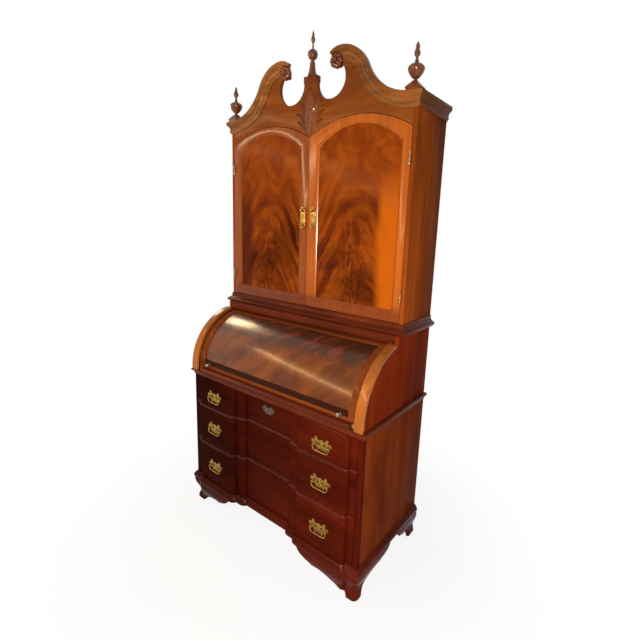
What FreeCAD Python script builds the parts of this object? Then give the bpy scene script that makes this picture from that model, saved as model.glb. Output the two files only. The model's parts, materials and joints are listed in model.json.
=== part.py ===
import FreeCAD, Part
import math
import os
from types import SimpleNamespace
import Sketcher

# A block-front secretary: a chest of drawers, a quarter-cylinder lid and a two-door bookcase.
# All sizes are in millimetres and degrees. While the pieces are drawn, y = 0 is the back plane and the
# front faces -y; each finished piece is then moved so that the origin is the middle of the floor plan.

DRIVING_SIZES = {
    # The chest
    "case_width": 1040, "case_depth": 517, "side_thickness": 20, "back_thickness": 12,
    "stile_width": 22, "stile_thickness": 20, "foot_height": 130, "base_moulding_height": 34,
    "base_moulding_reach": 16, "bottom_thickness": 18, "bottom_drawer_height": 202,
    "middle_drawer_height": 188, "top_drawer_height": 136, "blade_height": 16, "blade_depth": 90,
    "runner_width": 45, "block_rise": 20, "recess_drop": 18, "block_margin": 33, "block_inner": 200,
    "recess_edge": 160, "block_ledge": 25, "ledge_rise": 5, "blade_bead": 3.5, "waist_height": 30,
    "waist_reach": 12,
    # The bracket feet
    "foot_reach": 14, "foot_waist_drop": 16, "foot_width": 300, "foot_side_length": 270,
    "rear_foot_length": 200, "bracket_thickness": 30, "pad_width": 60, "rear_pad_length": 48,
    # The drawers
    "drawer_gap": 2, "front_thickness": 20, "drawer_side": 12, "drawer_bottom": 6, "drawer_groove": 6,
    "drawer_drop": 16, "drawer_back_gap": 32, "runner_gap": 0.3,
    # The cylinder part
    "desk_step": 3, "pivot_rise": 16, "desk_side": 22, "arc_radius": 272, "bead_thickness": 14,
    "bead_width": 40, "bead_overhang": 2, "bead_top_angle": 78, "fascia_height": 36,
    "fascia_reach": 42, "top_thickness": 18, "fascia_thickness": 18, "lid_clearance": 4,
    "lid_thickness": 18, "lid_gap": 3, "lid_low_angle": 1.2, "lid_high_angle": 83.5,
    "lid_stile": 52, "lid_bottom_angle": 9.5, "lid_top_angle": 77, "panel_thickness": 10,
    "panel_drop": 4, "quadrant_thickness": 12, "quadrant_low_angle": 8, "quadrant_high_angle": 78,
    "hub_radius": 13, "pivot_radius": 6, "pivot_play": 0.05, "knob_inset": 90, "knob_angle": 5,
    "knob_radius": 9, "knob_length": 22,
    "slide_thickness": 16, "slide_back_gap": 10, "slide_gap": 0.4, "guide_width": 14.6,
    "gallery_board": 8, "gallery_inset": 21, "gallery_step": 18, "gallery_clearance": 17,
    "gallery_corner_angle": 52, "gallery_shelf": 52,
    # The bookcase
    "bookcase_inset": 2, "bookcase_step": 26, "bookcase_side": 18, "mid_height": 46,
    "mid_reach": 21, "bookcase_board": 20, "shelf_thickness": 18, "shelf_gap": 6, "door_rest": 2,
    "cornice_level": 863, "cornice_height": 55, "cornice_reach": 20, "tympanum_thickness": 20,
    # The doors
    "door_height": 753, "door_thickness": 20, "door_arch_rise": 67.25, "hinge_gap": 2.4,
    "meeting_gap": 2, "arch_gap": 2.5, "door_stile": 42, "meeting_stile": 54, "door_rail": 48,
    "shoulder_height": 709, "shoulder_width": 13, "shoulder_rise": 9, "panel_arch_rise": 69.2,
    "door_panel_thickness": 8, "door_panel_setback": 9, "sticking_width": 12,
    "hinge_height": 50, "hinge_low": 77, "hinge_high": 613, "knuckle_radius": 4, "pin_radius": 2,
    "pin_play": 0.05, "pin_stand": 0.3, "leaf_thickness": 1, "leaf_depth": 18, "knuckle_gap": 0.4,
    # The pediment
    "scroll_inset": 18, "scroll_gap": 165, "scroll_rise": 215, "scroll_curl": 38, "curl_radius": 30,
    "rosette_radius": 30, "rosette_inset": 23, "rosette_lift": 5, "rosette_play": 0.2, "rosette_depth": 27,
    "gap_radius": 74, "gap_level": 157, "gap_open_angle": 32,
    "plinth_width": 72, "plinth_height": 28, "plinth_depth": 28, "plinth_level": 160,
    "spray_thickness": 10, "spray_height": 190, "spray_low": 48,
    "finial_block": 56, "finial_block_height": 5, "finial_block_lift": 8, "finial_cap_height": 25,
    "finial_cap_width": 13, "finial_block_outset": 4, "corner_finial_height": 130,
    "corner_finial_radius": 31, "centre_finial_height": 180, "centre_finial_radius": 22,
    # The brass pulls
    "pull_offset": 5.5, "plate_width": 98, "plate_height": 56, "plate_thickness": 1.6,
    "post_spacing": 60, "post_radius": 4.5, "post_length": 14, "post_pin_reach": 9, "bail_radius": 2.4,
    "bail_drop": 27, "bail_side_reach": 0.8, "bail_bend": 4.5, "bail_corner": 14, "bail_pin_play": 0.06,
    "door_pull_place": 31, "door_pull_level": 406, "door_plate_width": 24, "door_plate_height": 98,
    "door_bail_drop": 24, "door_post_spacing": 66, "keyhole_level": 84, "keyhole_radius": 2.5,
    "keyhole_plate_width": 72, "keyhole_plate_height": 42,
}
CUT_OVERRUN = 5


class Size:
    """A length or angle, held as a number and as the sheet expression that gives that number."""

    def __init__(self, value, text):
        self.value = value
        self.text = text

    def __add__(self, other):
        other = sized(other)
        return Size(self.value + other.value, f"({self.text} + {other.text})")

    def __sub__(self, other):
        other = sized(other)
        return Size(self.value - other.value, f"({self.text} - {other.text})")

    def __mul__(self, other):
        other = sized(other)
        return Size(self.value * other.value, f"({self.text} * {other.text})")

    def __truediv__(self, other):
        other = sized(other)
        return Size(self.value / other.value, f"({self.text} / {other.text})")

    def __neg__(self):
        return Size(-self.value, f"(-1 * {self.text})")

    __radd__ = __add__
    __rmul__ = __mul__


def sized(value):
    """A plain count, share or zero as a Size."""
    if isinstance(value, Size):
        return value
    return Size(float(value), repr(float(value)))


def root(size):
    return Size(size.value ** 0.5, f"sqrt({size.text})")


def sine(angle):
    return Size(math.sin(math.radians(angle.value)), f"sin({angle.text})")


def cosine(angle):
    return Size(math.cos(math.radians(angle.value)), f"cos({angle.text})")


doc = FreeCAD.newDocument("secretary")
sheet = doc.addObject("Spreadsheet::Sheet", "sizes")
for row, (name, value) in enumerate(DRIVING_SIZES.items(), start=1):
    sheet.set(f"A{row}", name)
    sheet.set(f"B{row}", str(value))
    sheet.setAlias(f"B{row}", name)
doc.recompute()
d = SimpleNamespace(**{name: Size(float(value), f"sizes.{name}") for name, value in DRIVING_SIZES.items()})
OVERRUN = sized(CUT_OVERRUN)
ZERO = sized(0)
subparts = []


# Drawing helpers

def bind(thing, name, size):
    thing.setExpression(name, sized(size).text)


def place(thing, x=ZERO, y=ZERO, z=ZERO):
    for axis, size in zip("xyz", (x, y, z)):
        bind(thing, f"Placement.Base.{axis}", size)
    return thing


def block(x, y, z):
    """A straight board between (low, high) places along each axis."""
    solid = doc.addObject("Part::Box", "board")
    for axis, side, (low, high) in zip("xyz", ("Length", "Width", "Height"), (x, y, z)):
        bind(solid, f"Placement.Base.{axis}", low)
        bind(solid, side, sized(high) - low)
    return solid


def rod(axis, centre, radius, length):
    """A round rod that starts at centre and runs along +x, -y or +z."""
    solid = doc.addObject("Part::Cylinder", "rod")
    bind(solid, "Radius", radius)
    bind(solid, "Height", length)
    turns = {"x": (FreeCAD.Vector(0, 1, 0), 90), "-y": (FreeCAD.Vector(1, 0, 0), 90),
             "z": (FreeCAD.Vector(0, 0, 1), 0)}
    solid.Placement = FreeCAD.Placement(FreeCAD.Vector(), FreeCAD.Rotation(*turns[axis]))
    return place(solid, *centre)


def add_edge(sketch, here, there):
    """A line, or an arc when the far corner also gives a radius and the side it bends to."""
    first = FreeCAD.Vector(sized(here[0]).value, sized(here[1]).value, 0)
    last = FreeCAD.Vector(sized(there[0]).value, sized(there[1]).value, 0)
    if len(there) == 2:
        return sketch.addGeometry(Part.LineSegment(first, last)), 1, 2
    radius, bend = sized(there[2]).value, there[3]
    chord = last - first
    across = FreeCAD.Vector(-chord.y, chord.x, 0).normalize()
    reach = max(radius ** 2 - chord.Length ** 2 / 4, 0) ** 0.5
    side = 1 if bend == "left" else -1
    centre = (first + last) / 2 + across * (side * reach)
    begin, end = (first, last) if side > 0 else (last, first)
    angles = [math.atan2(point.y - centre.y, point.x - centre.x) for point in (begin, end)]
    circle = Part.Circle(centre, FreeCAD.Vector(0, 0, 1), radius)
    number = sketch.addGeometry(Part.ArcOfCircle(circle, *angles))
    return (number, 1, 2) if side > 0 else (number, 2, 1)


def draw(sketch, corners, closed=True):
    """Draws the outline and ties each corner and radius to its sheet expression."""
    ties = []
    edges = []
    for index in range(0 if closed else 1, len(corners)):
        edges.append((*add_edge(sketch, corners[index - 1], corners[index]), corners[index]))
    for place_in_list, (number, start, end, corner) in enumerate(edges):
        if closed or place_in_list:
            before = edges[place_in_list - 1]
            ties.append((Sketcher.Constraint("Coincident", before[0], before[2], number, start), None))
        elif not closed:
            ties += corner_ties(number, start, corners[0])
        ties += corner_ties(number, end, corner)
        if len(corner) > 2:
            radius = sized(corner[2])
            ties.append((Sketcher.Constraint("Radius", number, radius.value), radius))
    numbers = sketch.addConstraint([tie for tie, size in ties])
    for number, (tie, size) in zip(numbers, ties):
        if size is not None:
            sketch.setExpression(f"Constraints[{number}]", size.text)


def shaped(left, foot, width, height, rows):
    """Corners from rows of shares: (across, up), or (across, up, bow) for an arc that bows off its chord."""
    corners = [(left + width * row[0], foot + height * row[1]) for row in rows]
    turn = 1 if (width.value > 0) == (height.value > 0) else -1
    result = []
    for index, row in enumerate(rows):
        corner = corners[index]
        if len(row) > 2:
            bow_share = abs(row[2])
            across = corner[0] - corners[index - 1][0]
            up = corner[1] - corners[index - 1][1]
            radius = root(across * across + up * up) * ((0.25 + bow_share ** 2) / (2 * bow_share))
            corner += (radius, "left" if row[2] * turn > 0 else "right")
        result.append(corner)
    return result


def corner_ties(number, end, corner):
    across, up = sized(corner[0]), sized(corner[1])
    return [(Sketcher.Constraint("DistanceX", -1, 1, number, end, across.value), across),
            (Sketcher.Constraint("DistanceY", -1, 1, number, end, up.value), up)]


def sketch_on(body, plane, start):
    """An empty sketch on an origin plane, moved along that plane's normal by start."""
    sketch = body.newObject("Sketcher::SketchObject", "outline")
    origin_plane = next(item for item in body.Origin.OriginFeatures if item.Role == plane)
    sketch.AttachmentSupport = [(origin_plane, "")]
    sketch.MapMode = "FlatFace"
    bind(sketch, "AttachmentOffset.Base.z", start)
    return sketch


def prism(plane, corners, start, length):
    """An outline on an origin plane, raised along +z, -y (front view) or +x (side view)."""
    body = doc.addObject("PartDesign::Body", "board")
    sketch = sketch_on(body, plane, start)
    draw(sketch, corners)
    pad = body.newObject("PartDesign::Pad", "pad")
    pad.Profile = sketch
    bind(pad, "Length", length)
    return body


def turned(corners):
    """A half profile of (radius, height) corners, turned about the upright axis."""
    body = doc.addObject("PartDesign::Body", "turning")
    sketch = sketch_on(body, "XZ_Plane", ZERO)
    draw(sketch, corners)
    revolution = body.newObject("PartDesign::Revolution", "revolution")
    revolution.Profile = sketch
    revolution.ReferenceAxis = (sketch, ["V_Axis"])
    revolution.Angle = 360
    return body


def swept(path_plane, path, path_start, section_plane, section, section_start):
    """A section carried along a path, with mitred corners."""
    body = doc.addObject("PartDesign::Body", "moulding")
    spine = sketch_on(body, path_plane, path_start)
    draw(spine, path, closed=False)
    profile = sketch_on(body, section_plane, section_start)
    draw(profile, section)
    pipe = body.newObject("PartDesign::AdditivePipe", "pipe")
    pipe.Profile = profile
    pipe.Spine = spine
    pipe.Transition = "Right corner"
    return body


def lofted(plane, outlines):
    """A ruled solid through (start, corners) outlines on parallel planes."""
    body = doc.addObject("PartDesign::Body", "loft")
    sketches = []
    for start, corners in outlines:
        sketch = sketch_on(body, plane, start)
        draw(sketch, corners)
        sketches.append(sketch)
    loft = body.newObject("PartDesign::AdditiveLoft", "loft")
    loft.Profile = sketches[0]
    loft.Sections = sketches[1:]
    loft.Ruled = True
    return body


def cut(base, *tools):
    for tool in tools:
        result = doc.addObject("Part::Cut", "cut")
        result.Base = base
        result.Tool = tool
        base = result
    return base


def fused(*pieces):
    result = doc.addObject("Part::MultiFuse", "joined")
    result.Shapes = list(pieces)
    return result


def common(first, second):
    result = doc.addObject("Part::Common", "common")
    result.Base = first
    result.Tool = second
    return result


def mirrored(piece):
    """The same piece on the other side of the middle plane."""
    result = doc.addObject("Part::Mirroring", "mirrored")
    result.Source = piece
    result.Normal = FreeCAD.Vector(1, 0, 0)
    return result


def group(*pieces):
    result = doc.addObject("Part::Compound", "group")
    result.Links = list(pieces)
    return result


def keep(name, *pieces):
    """Names a finished sub-part and moves it from the back plane to the middle of the plan."""
    subpart = group(*pieces)
    subpart.Label = name
    bind(subpart, "Placement.Base.y", PLAN_MIDDLE)
    subparts.append(subpart)


def both_sides(points):
    """A front-view or plan outline from its right half, which starts and ends on the middle line's right."""
    left = []
    for index in range(len(points) - 1, -1, -1):
        point = points[index]
        after = points[index + 1] if index + 1 < len(points) else None
        corner = (-sized(point[0]), point[1])
        if after is not None and len(after) > 2:
            corner += (after[2], after[3])
        left.append(corner)
    return list(points) + left


# Levels and planes that several pieces share

CASE_HALF = d.case_width / 2
PLAN_MIDDLE = (d.case_depth + d.block_rise + d.base_moulding_reach) / 2
OPENING_HALF = CASE_HALF - d.stile_width
BOTTOM_LEVEL = d.foot_height + d.base_moulding_height
BLADE_ONE = BOTTOM_LEVEL + d.bottom_drawer_height
MIDDLE_LEVEL = BLADE_ONE + d.blade_height
BLADE_TWO = MIDDLE_LEVEL + d.middle_drawer_height
TOP_LEVEL = BLADE_TWO + d.blade_height
DESK_LEVEL = TOP_LEVEL + d.top_drawer_height
WRITING_LEVEL = DESK_LEVEL + d.waist_height
INSIDE_HALF = CASE_HALF - d.side_thickness
BLADE_BACK = -(d.case_depth - d.blade_depth)
BLOCK_FACE = -(d.case_depth + d.block_rise)
BLOCK_OUTER = OPENING_HALF - d.block_margin - d.block_rise
BLOCK_MIDDLE = (BLOCK_OUTER + d.block_inner + d.block_rise) / 2


def blocked_half(edge, back, grow=ZERO, rise=d.block_rise):
    """Right half of the blocked plan: stile, raised round-edged block, round-edged strip, sunk middle."""
    flat = -d.case_depth - grow
    radius = rise + grow
    spread = root(radius * radius - grow * grow)
    recess_radius = d.recess_drop + grow
    recess_spread = root(recess_radius * recess_radius - grow * grow)
    inner = d.block_inner + d.block_rise
    return [
        (edge, back),
        (edge, flat),
        (BLOCK_OUTER + spread, flat),
        (BLOCK_OUTER, flat - rise, radius, "right"),
        (inner, flat - rise),
        (inner - spread, flat, radius, "right"),
        (d.recess_edge, flat),
        (d.recess_edge - recess_spread, flat + d.recess_drop, recess_radius, "right"),
    ]


BEAD_SHARES = ((0, 0.1), (0.14, 0.68), (0.32, 0.93), (0.5, 1), (0.68, 0.93), (0.86, 0.68), (1, 0.1))


def drawer_blade(level):
    """A blade between two drawers, with a half-round nose that follows the blocking."""
    outlines = []
    for height_share, reach_share in BEAD_SHARES:
        plan = both_sides(blocked_half(OPENING_HALF, BLADE_BACK, d.blade_bead * reach_share))
        outlines.append((level + d.blade_height * height_share, plan))
    return lofted("XY_Plane", outlines)


def chest_case():
    """Sides, stiles, blades, bottom rail and bottom of the chest."""
    side = block((INSIDE_HALF, CASE_HALF), (-(d.case_depth - d.stile_thickness), ZERO),
                 (d.foot_height, DESK_LEVEL))
    keep("base_sides", side, mirrored(side))
    stile = block((OPENING_HALF, CASE_HALF), (-d.case_depth, -(d.case_depth - d.stile_thickness)),
                  (d.foot_height, DESK_LEVEL))
    keep("front_stiles", stile, mirrored(stile))
    plan = both_sides(blocked_half(OPENING_HALF, BLADE_BACK))
    keep("drawer_blades", prism("XY_Plane", plan, d.foot_height, d.base_moulding_height),
         drawer_blade(BLADE_ONE), drawer_blade(BLADE_TWO))
    keep("base_bottom", block((-INSIDE_HALF, INSIDE_HALF), (BLADE_BACK, -d.back_thickness),
                              (BOTTOM_LEVEL - d.bottom_thickness, BOTTOM_LEVEL)))


def runners():
    """Strips that carry the two upper drawers, and the guides beside the writing slide."""
    strips = []
    for level in (BLADE_ONE, BLADE_TWO):
        strip = block((INSIDE_HALF - d.runner_width, INSIDE_HALF), (BLADE_BACK, -d.back_thickness),
                      (level, level + d.blade_height))
        strips += [strip, mirrored(strip)]
    guide = block((SLIDE_HALF + d.slide_gap, GALLERY_HALF), (-d.case_depth, GALLERY_FRONT),
                  (WRITING_LEVEL, WRITING_LEVEL + d.slide_thickness))
    keep("runners", *strips, guide, mirrored(guide))


def back_boards():
    """Three back panels: behind the drawers, the writing space and the books."""
    panels = [(INSIDE_HALF, d.foot_height, DESK_LEVEL),
              (CASE_HALF - d.desk_side, WRITING_LEVEL, CASE_TOP),
              (BOOKCASE_HALF - d.bookcase_side, CASE_TOP, CORNICE_LEVEL + d.cornice_height)]
    keep("back_boards", *[block((-half, half), (-d.back_thickness, ZERO), (low, high))
                          for half, low, high in panels])


def base_moulding():
    """Blocked moulding: an upright band below an ogee that runs in to the case."""
    height_shares = (0, 0.46, 0.52, 0.66, 0.82, 0.92, 1)
    reach_shares = (1, 1, 0.86, 0.72, 0.42, 0.2, 0.2)
    outlines = []
    for height_share, reach_share in zip(height_shares, reach_shares):
        grow = d.base_moulding_reach * reach_share
        plan = both_sides(blocked_half(CASE_HALF + grow, ZERO, grow))
        outlines.append((d.foot_height + d.base_moulding_height * height_share, plan))
    inside = prism("XY_Plane", both_sides(blocked_half(CASE_HALF, OVERRUN)), d.foot_height - OVERRUN,
                   d.base_moulding_height + OVERRUN * 2)
    keep("base_moulding", cut(lofted("XY_Plane", outlines), inside))


# Bracket feet

FOOT_SHARES = ((0, 1), (0.05, 0.7), (0.12, 0.55), (0.2, 0.6), (0.3, 0.84), (0.38, 0.93), (0.48, 0.8),
               (0.6, 0.42), (0.74, 0.1), (0.86, 0), (1, 0.1))
SCALLOP_SHARES = ((0.2, 0), (0.225, 0.09, -0.15), (0.23, 0.2), (0.31, 0.42, -0.1), (0.42, 0.5, -0.06),
                  (0.62, 0.52, 0.14), (0.74, 0.7, -0.16), (0.86, 0.76, 0.2), (0.96, 0.92, -0.16), (0.98, 1))


def ogee_foot(plan):
    """A rounded toe, hollow ankle and swelling knee; plan gives the outline for a reach from the case."""
    levels = []
    for height_share, drop_share in FOOT_SHARES:
        reach = d.foot_reach - d.foot_waist_drop * drop_share
        levels.append((d.foot_height * height_share, plan(reach)))
    return lofted("XY_Plane", levels)


def scallop(face, length):
    """The curved gap under an apron that runs back from a face, as a cutting outline."""
    apron = shaped(face, ZERO, length, d.foot_height, SCALLOP_SHARES)
    far = face + length * 2
    top = d.foot_height + OVERRUN
    return [(apron[0][0], -OVERRUN)] + apron + [(apron[-1][0], top), (far, top), (far, -OVERRUN)]


def bracket_feet():
    """Ogee brackets that follow the blocking in front, side brackets with a plain back bracket behind."""
    top = d.foot_height + OVERRUN
    inside_x = CASE_HALF + d.foot_reach - d.bracket_thickness
    inside_y = -(d.case_depth + d.foot_reach - d.bracket_thickness)
    side_back = -(d.case_depth - d.foot_side_length)
    around = ogee_foot(lambda reach: both_sides(blocked_half(CASE_HALF + reach, side_back, reach)))
    corner = block((CASE_HALF - d.foot_width, CASE_HALF * 2), (-d.case_depth * 2, side_back), (-OVERRUN, top))
    hollow = block((ZERO, inside_x), (inside_y, ZERO), (-OVERRUN, top))
    front_gap = prism("XZ_Plane", scallop(CASE_HALF, -d.foot_width), -inside_y - OVERRUN,
                      d.bracket_thickness + d.block_rise + OVERRUN * 2)
    side_gap = prism("YZ_Plane", scallop(-d.case_depth, d.foot_side_length), inside_x - OVERRUN,
                     d.bracket_thickness + OVERRUN * 2)
    foot = cut(common(around, corner), hollow, front_gap, side_gap)
    glue_block = block((inside_x - d.pad_width / 2, inside_x), (inside_y, inside_y + d.pad_width / 2),
                       (ZERO, d.foot_height))
    keep("front_feet", foot, mirrored(foot), glue_block, mirrored(glue_block))
    rear_end = -d.rear_foot_length
    rear_view = ogee_foot(lambda reach: [(inside_x, ZERO), (inside_x, rear_end), (CASE_HALF + reach, rear_end),
                                         (CASE_HALF + reach, ZERO)])
    rear_gap = prism("YZ_Plane", scallop(ZERO, -d.rear_foot_length), inside_x - OVERRUN,
                     d.bracket_thickness + OVERRUN * 2)
    rear_side = cut(rear_view, rear_gap)
    slant = [(inside_x, ZERO), (inside_x, d.foot_height), (inside_x - d.foot_width / 2, d.foot_height),
             (inside_x - d.rear_pad_length, ZERO)]
    rear_back = prism("XZ_Plane", slant, ZERO, d.stile_thickness)
    keep("rear_feet", rear_side, mirrored(rear_side), rear_back, mirrored(rear_back))


# Brass pulls

PLATE_HALF_SHARES = ((0.1, 0.78), (0.3, 0.62, 0.2), (0.46, 0.98, 0.2), (0.74, 0.86, -0.3), (0.74, 0.5, 0.25),
                     (1, 0.4, -0.2), (0.96, -0.02, -0.25), (0.78, -0.14, 0.2), (0.8, -0.52, -0.3),
                     (0.5, -0.6, 0.2), (0.34, -0.96, -0.2), (0.1, -0.8, 0.2))
PIERCING_SHARES = ((0.14, 0.1), (0.36, 0.3), (0.36, -0.3))


def moved(corners, x, z):
    return [(x + corner[0], z + corner[1]) + tuple(corner[2:]) for corner in corners]


def plate_outline(centre, level, width, height):
    half = shaped(ZERO, ZERO, width / 2, height / 2, PLATE_HALF_SHARES)
    return moved(both_sides(half), centre, level)


def piercing(centre, level, side):
    """A three-cornered hole through a plate, to one side of its middle."""
    return shaped(centre, level, d.plate_width / 2 * side, d.plate_height / 2, PIERCING_SHARES)


def pierced_plate(centre, level, face):
    """A bat-wing plate on a drawer's face, with two piercings."""
    outline = plate_outline(centre, level, d.plate_width, d.plate_height)
    plate = prism("XZ_Plane", outline, -face, d.plate_thickness)
    tools = [prism("XZ_Plane", piercing(centre, level, side), -face - OVERRUN, OVERRUN * 2 + d.plate_thickness)
             for side in (1, -1)]
    return cut(plate, *tools)


def post(x, z, face, bore_axis):
    """A post that carries one end of a bail in a cross hole."""
    shank = rod("-y", (x, face - d.plate_thickness, z), d.post_radius, d.post_length - d.plate_thickness)
    reach = d.post_radius + OVERRUN
    axis_y = face - d.post_pin_reach
    start = (x - reach, axis_y, z) if bore_axis == "x" else (x, axis_y, z - reach)
    return cut(shank, rod(bore_axis, start, d.bail_radius + d.bail_pin_play, reach * 2))


def bail_half(spacing, drop):
    """Half of a bail's centre line: from inside a post, out, down and along the grip."""
    inner = spacing / 2 - d.post_radius
    bend = d.bail_bend
    corner = d.bail_corner
    side = spacing / 2 + d.post_radius + d.bail_side_reach + bend
    return [(inner, ZERO), (side - bend, ZERO), (side, -bend, bend, "right"), (side, corner - drop),
            (side - corner, -drop, corner, "right")]


def round_section(u, v, radius):
    return [(u + radius, v, radius, "left"), (u, v + radius, radius, "left"), (u - radius, v, radius, "left"),
            (u, v - radius, radius, "left")]


def hanging_bail(x, z, face):
    """A bail that hangs from its two posts and swings up about their cross holes."""
    path = moved(both_sides(bail_half(d.post_spacing, d.bail_drop)), x, z)
    reach = face - d.post_pin_reach
    section = round_section(reach, z, d.bail_radius)
    return swept("XZ_Plane", path, -reach, "YZ_Plane", section, x + d.post_spacing / 2 - d.post_radius)


# Drawers

def drawer_front(low, high, ledge):
    """A blocked front; where there is a ledge, the blocks slope back towards their top."""
    edge = OPENING_HALF - d.drawer_gap
    back = -(d.case_depth - d.recess_drop - d.front_thickness)
    foot = low + d.drawer_gap
    top = high - d.drawer_gap
    blocked = prism("XY_Plane", both_sides(blocked_half(edge, back)), foot, top - ledge - foot)
    if ledge is ZERO:
        return blocked
    plans = [both_sides(blocked_half(edge, back, ZERO, rise)) for rise in (d.block_rise, d.ledge_rise)]
    return fused(blocked, lofted("XY_Plane", list(zip((top - ledge, top), plans))))


def drawer_box(low, high):
    """Sides, back and bottom behind a drawer front."""
    edge = OPENING_HALF - d.drawer_gap
    inner = edge - d.drawer_side
    front = -(d.case_depth - d.recess_drop - d.front_thickness)
    back = -(d.back_thickness + d.drawer_back_gap)
    foot = low + d.runner_gap
    top = high - d.drawer_drop
    side = block((inner, edge), (front, back), (foot, top))
    floor_level = foot + d.drawer_groove
    floor = block((-inner, inner), (front, back - d.drawer_side), (floor_level, floor_level + d.drawer_bottom))
    rear = block((-inner, inner), (back - d.drawer_side, back), (foot, top))
    return [side, mirrored(side), floor, rear]


def drawer(name, low, height, pull_share, ledge):
    """One drawer with its plates, posts and two bails."""
    high = low + height
    level = low + height * pull_share
    keep(f"{name}_drawer_front", drawer_front(low, high, ledge))
    keep(f"{name}_drawer_box", *drawer_box(low, high))
    half_spacing = d.post_spacing / 2
    plates = []
    spread = BLOCK_MIDDLE + d.pull_offset
    for side_name, centre in (("left", -spread), ("right", spread)):
        plates.append(pierced_plate(centre, level, BLOCK_FACE))
        plates += [post(centre + half_spacing * side, level, BLOCK_FACE, "x") for side in (1, -1)]
        keep(f"{name}_bail_{side_name}", hanging_bail(centre, level, BLOCK_FACE))
    if ledge is not ZERO:
        plates.append(keyhole_plate())
    keep(f"{name}_drawer_plates", *plates)


def keyhole_plate():
    """A plate with a keyhole, in the sunk middle of the top drawer."""
    face = -(d.case_depth - d.recess_drop)
    level = TOP_LEVEL + d.keyhole_level
    outline = plate_outline(ZERO, level, d.keyhole_plate_width, d.keyhole_plate_height)
    plate = prism("XZ_Plane", outline, -face, d.plate_thickness)
    eye = rod("-y", (ZERO, face + OVERRUN, level), d.keyhole_radius, d.plate_thickness + OVERRUN * 2)
    slot_half = d.keyhole_radius / 2
    slot = block((-slot_half, slot_half), (face - d.plate_thickness - OVERRUN, face + OVERRUN),
                 (level - d.keyhole_radius * 3, level))
    return cut(plate, eye, slot)


# The writing part

DESK_FRONT = d.case_depth + d.desk_step
PIVOT_Y = d.arc_radius - DESK_FRONT
PIVOT_Z = WRITING_LEVEL + d.pivot_rise
LID_RADIUS = d.arc_radius - d.lid_clearance
LID_INNER = LID_RADIUS - d.lid_thickness
LID_TOP = PIVOT_Z + LID_RADIUS + d.lid_gap
CASE_TOP = LID_TOP + d.fascia_height
TOP_FRONT = d.fascia_reach - PIVOT_Y
BOOKCASE_DEPTH = TOP_FRONT - d.bookcase_step
DESK_INSIDE = CASE_HALF - d.desk_side
LID_HALF = DESK_INSIDE - d.lid_gap
GALLERY_HALF = DESK_INSIDE - d.gallery_inset
SLIDE_HALF = GALLERY_HALF - d.guide_width - d.slide_gap
GALLERY_REACH = LID_INNER - d.gallery_clearance
GALLERY_FRONT = PIVOT_Y + d.gallery_step
GALLERY_BACK = PIVOT_Y + GALLERY_REACH * cosine(d.gallery_corner_angle)
GALLERY_TOP = PIVOT_Z + GALLERY_REACH * sine(d.gallery_corner_angle)
WAIST_SHARES = ((0, 0), (0.3, 0), (0.3, 0.14), (0.72, 0.46, -0.2), (0.86, 0.46), (0.86, 0.56),
                (0.86, 0.94, 0.45),
                (0.8, 1), (0, 1))
MID_SHARES = ((0, 0), (0.84, 0), (0.84, 0.08), (0.84, 0.4, 0.42), (0.7, 0.4), (0.7, 0.48), (0.2, 0.86, -0.2),
              (0.2, 1), (0, 1))


def on_arc(radius, angle):
    """A point in side view at a distance and angle from the lid's pivot; angle 0 is straight ahead."""
    return (PIVOT_Y - radius * cosine(angle), PIVOT_Z + radius * sine(angle))


def ring_sector(inner, outer, low, high):
    return [(*on_arc(inner, low), inner, "left"), on_arc(outer, low), (*on_arc(outer, high), outer, "right"),
            on_arc(inner, high)]


def wrapped_moulding(half, depth, level, reach, height, rows):
    """A moulding carried round both sides and the front, mitred at the corners."""
    path = [(half, ZERO), (half, -depth), (-half, -depth), (-half, ZERO)]
    section = shaped(half, level, reach, height, rows)
    return swept("XY_Plane", path, level, "XZ_Plane", section, ZERO)


def desk_case():
    """Desk board, mouldings, quarter-round sides, their beads, and the top with its fascia."""
    keep("desk_board", block((-CASE_HALF, CASE_HALF), (-d.case_depth, ZERO), (DESK_LEVEL, WRITING_LEVEL)))
    keep("waist_moulding", wrapped_moulding(CASE_HALF, d.case_depth, DESK_LEVEL, d.waist_reach, d.waist_height,
                                            WAIST_SHARES))
    front = -DESK_FRONT
    arc_top = PIVOT_Z + root(d.arc_radius * d.arc_radius - d.fascia_reach * d.fascia_reach)
    outline = [(ZERO, WRITING_LEVEL), (front, WRITING_LEVEL), (front, PIVOT_Z),
               (-TOP_FRONT, arc_top, d.arc_radius, "right"), (-TOP_FRONT, CASE_TOP), (ZERO, CASE_TOP)]
    side = prism("YZ_Plane", outline, DESK_INSIDE, d.desk_side)
    keep("cylinder_sides", side, mirrored(side))
    outer = d.arc_radius + d.bead_thickness
    strip = [(*on_arc(d.arc_radius, ZERO), d.arc_radius, "left"), (front, WRITING_LEVEL),
             (front - d.bead_thickness, WRITING_LEVEL), on_arc(outer, ZERO),
             (*on_arc(outer, d.bead_top_angle), outer, "right"), on_arc(d.arc_radius, d.bead_top_angle)]
    bead = prism("YZ_Plane", strip, CASE_HALF + d.bead_overhang - d.bead_width, d.bead_width)
    keep("arc_beads", bead, mirrored(bead))
    fascia_back = d.fascia_thickness - TOP_FRONT
    top = block((-DESK_INSIDE, DESK_INSIDE), (fascia_back, -d.back_thickness),
                (CASE_TOP - d.top_thickness, CASE_TOP))
    fascia = block((-DESK_INSIDE, DESK_INSIDE), (-TOP_FRONT, fascia_back), (LID_TOP, CASE_TOP))
    keep("desk_top", top, fascia)
    keep("mid_moulding", wrapped_moulding(BOOKCASE_HALF, BOOKCASE_DEPTH, CASE_TOP, d.mid_reach, d.mid_height,
                                          MID_SHARES))


PIGEONHOLES = 6


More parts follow.
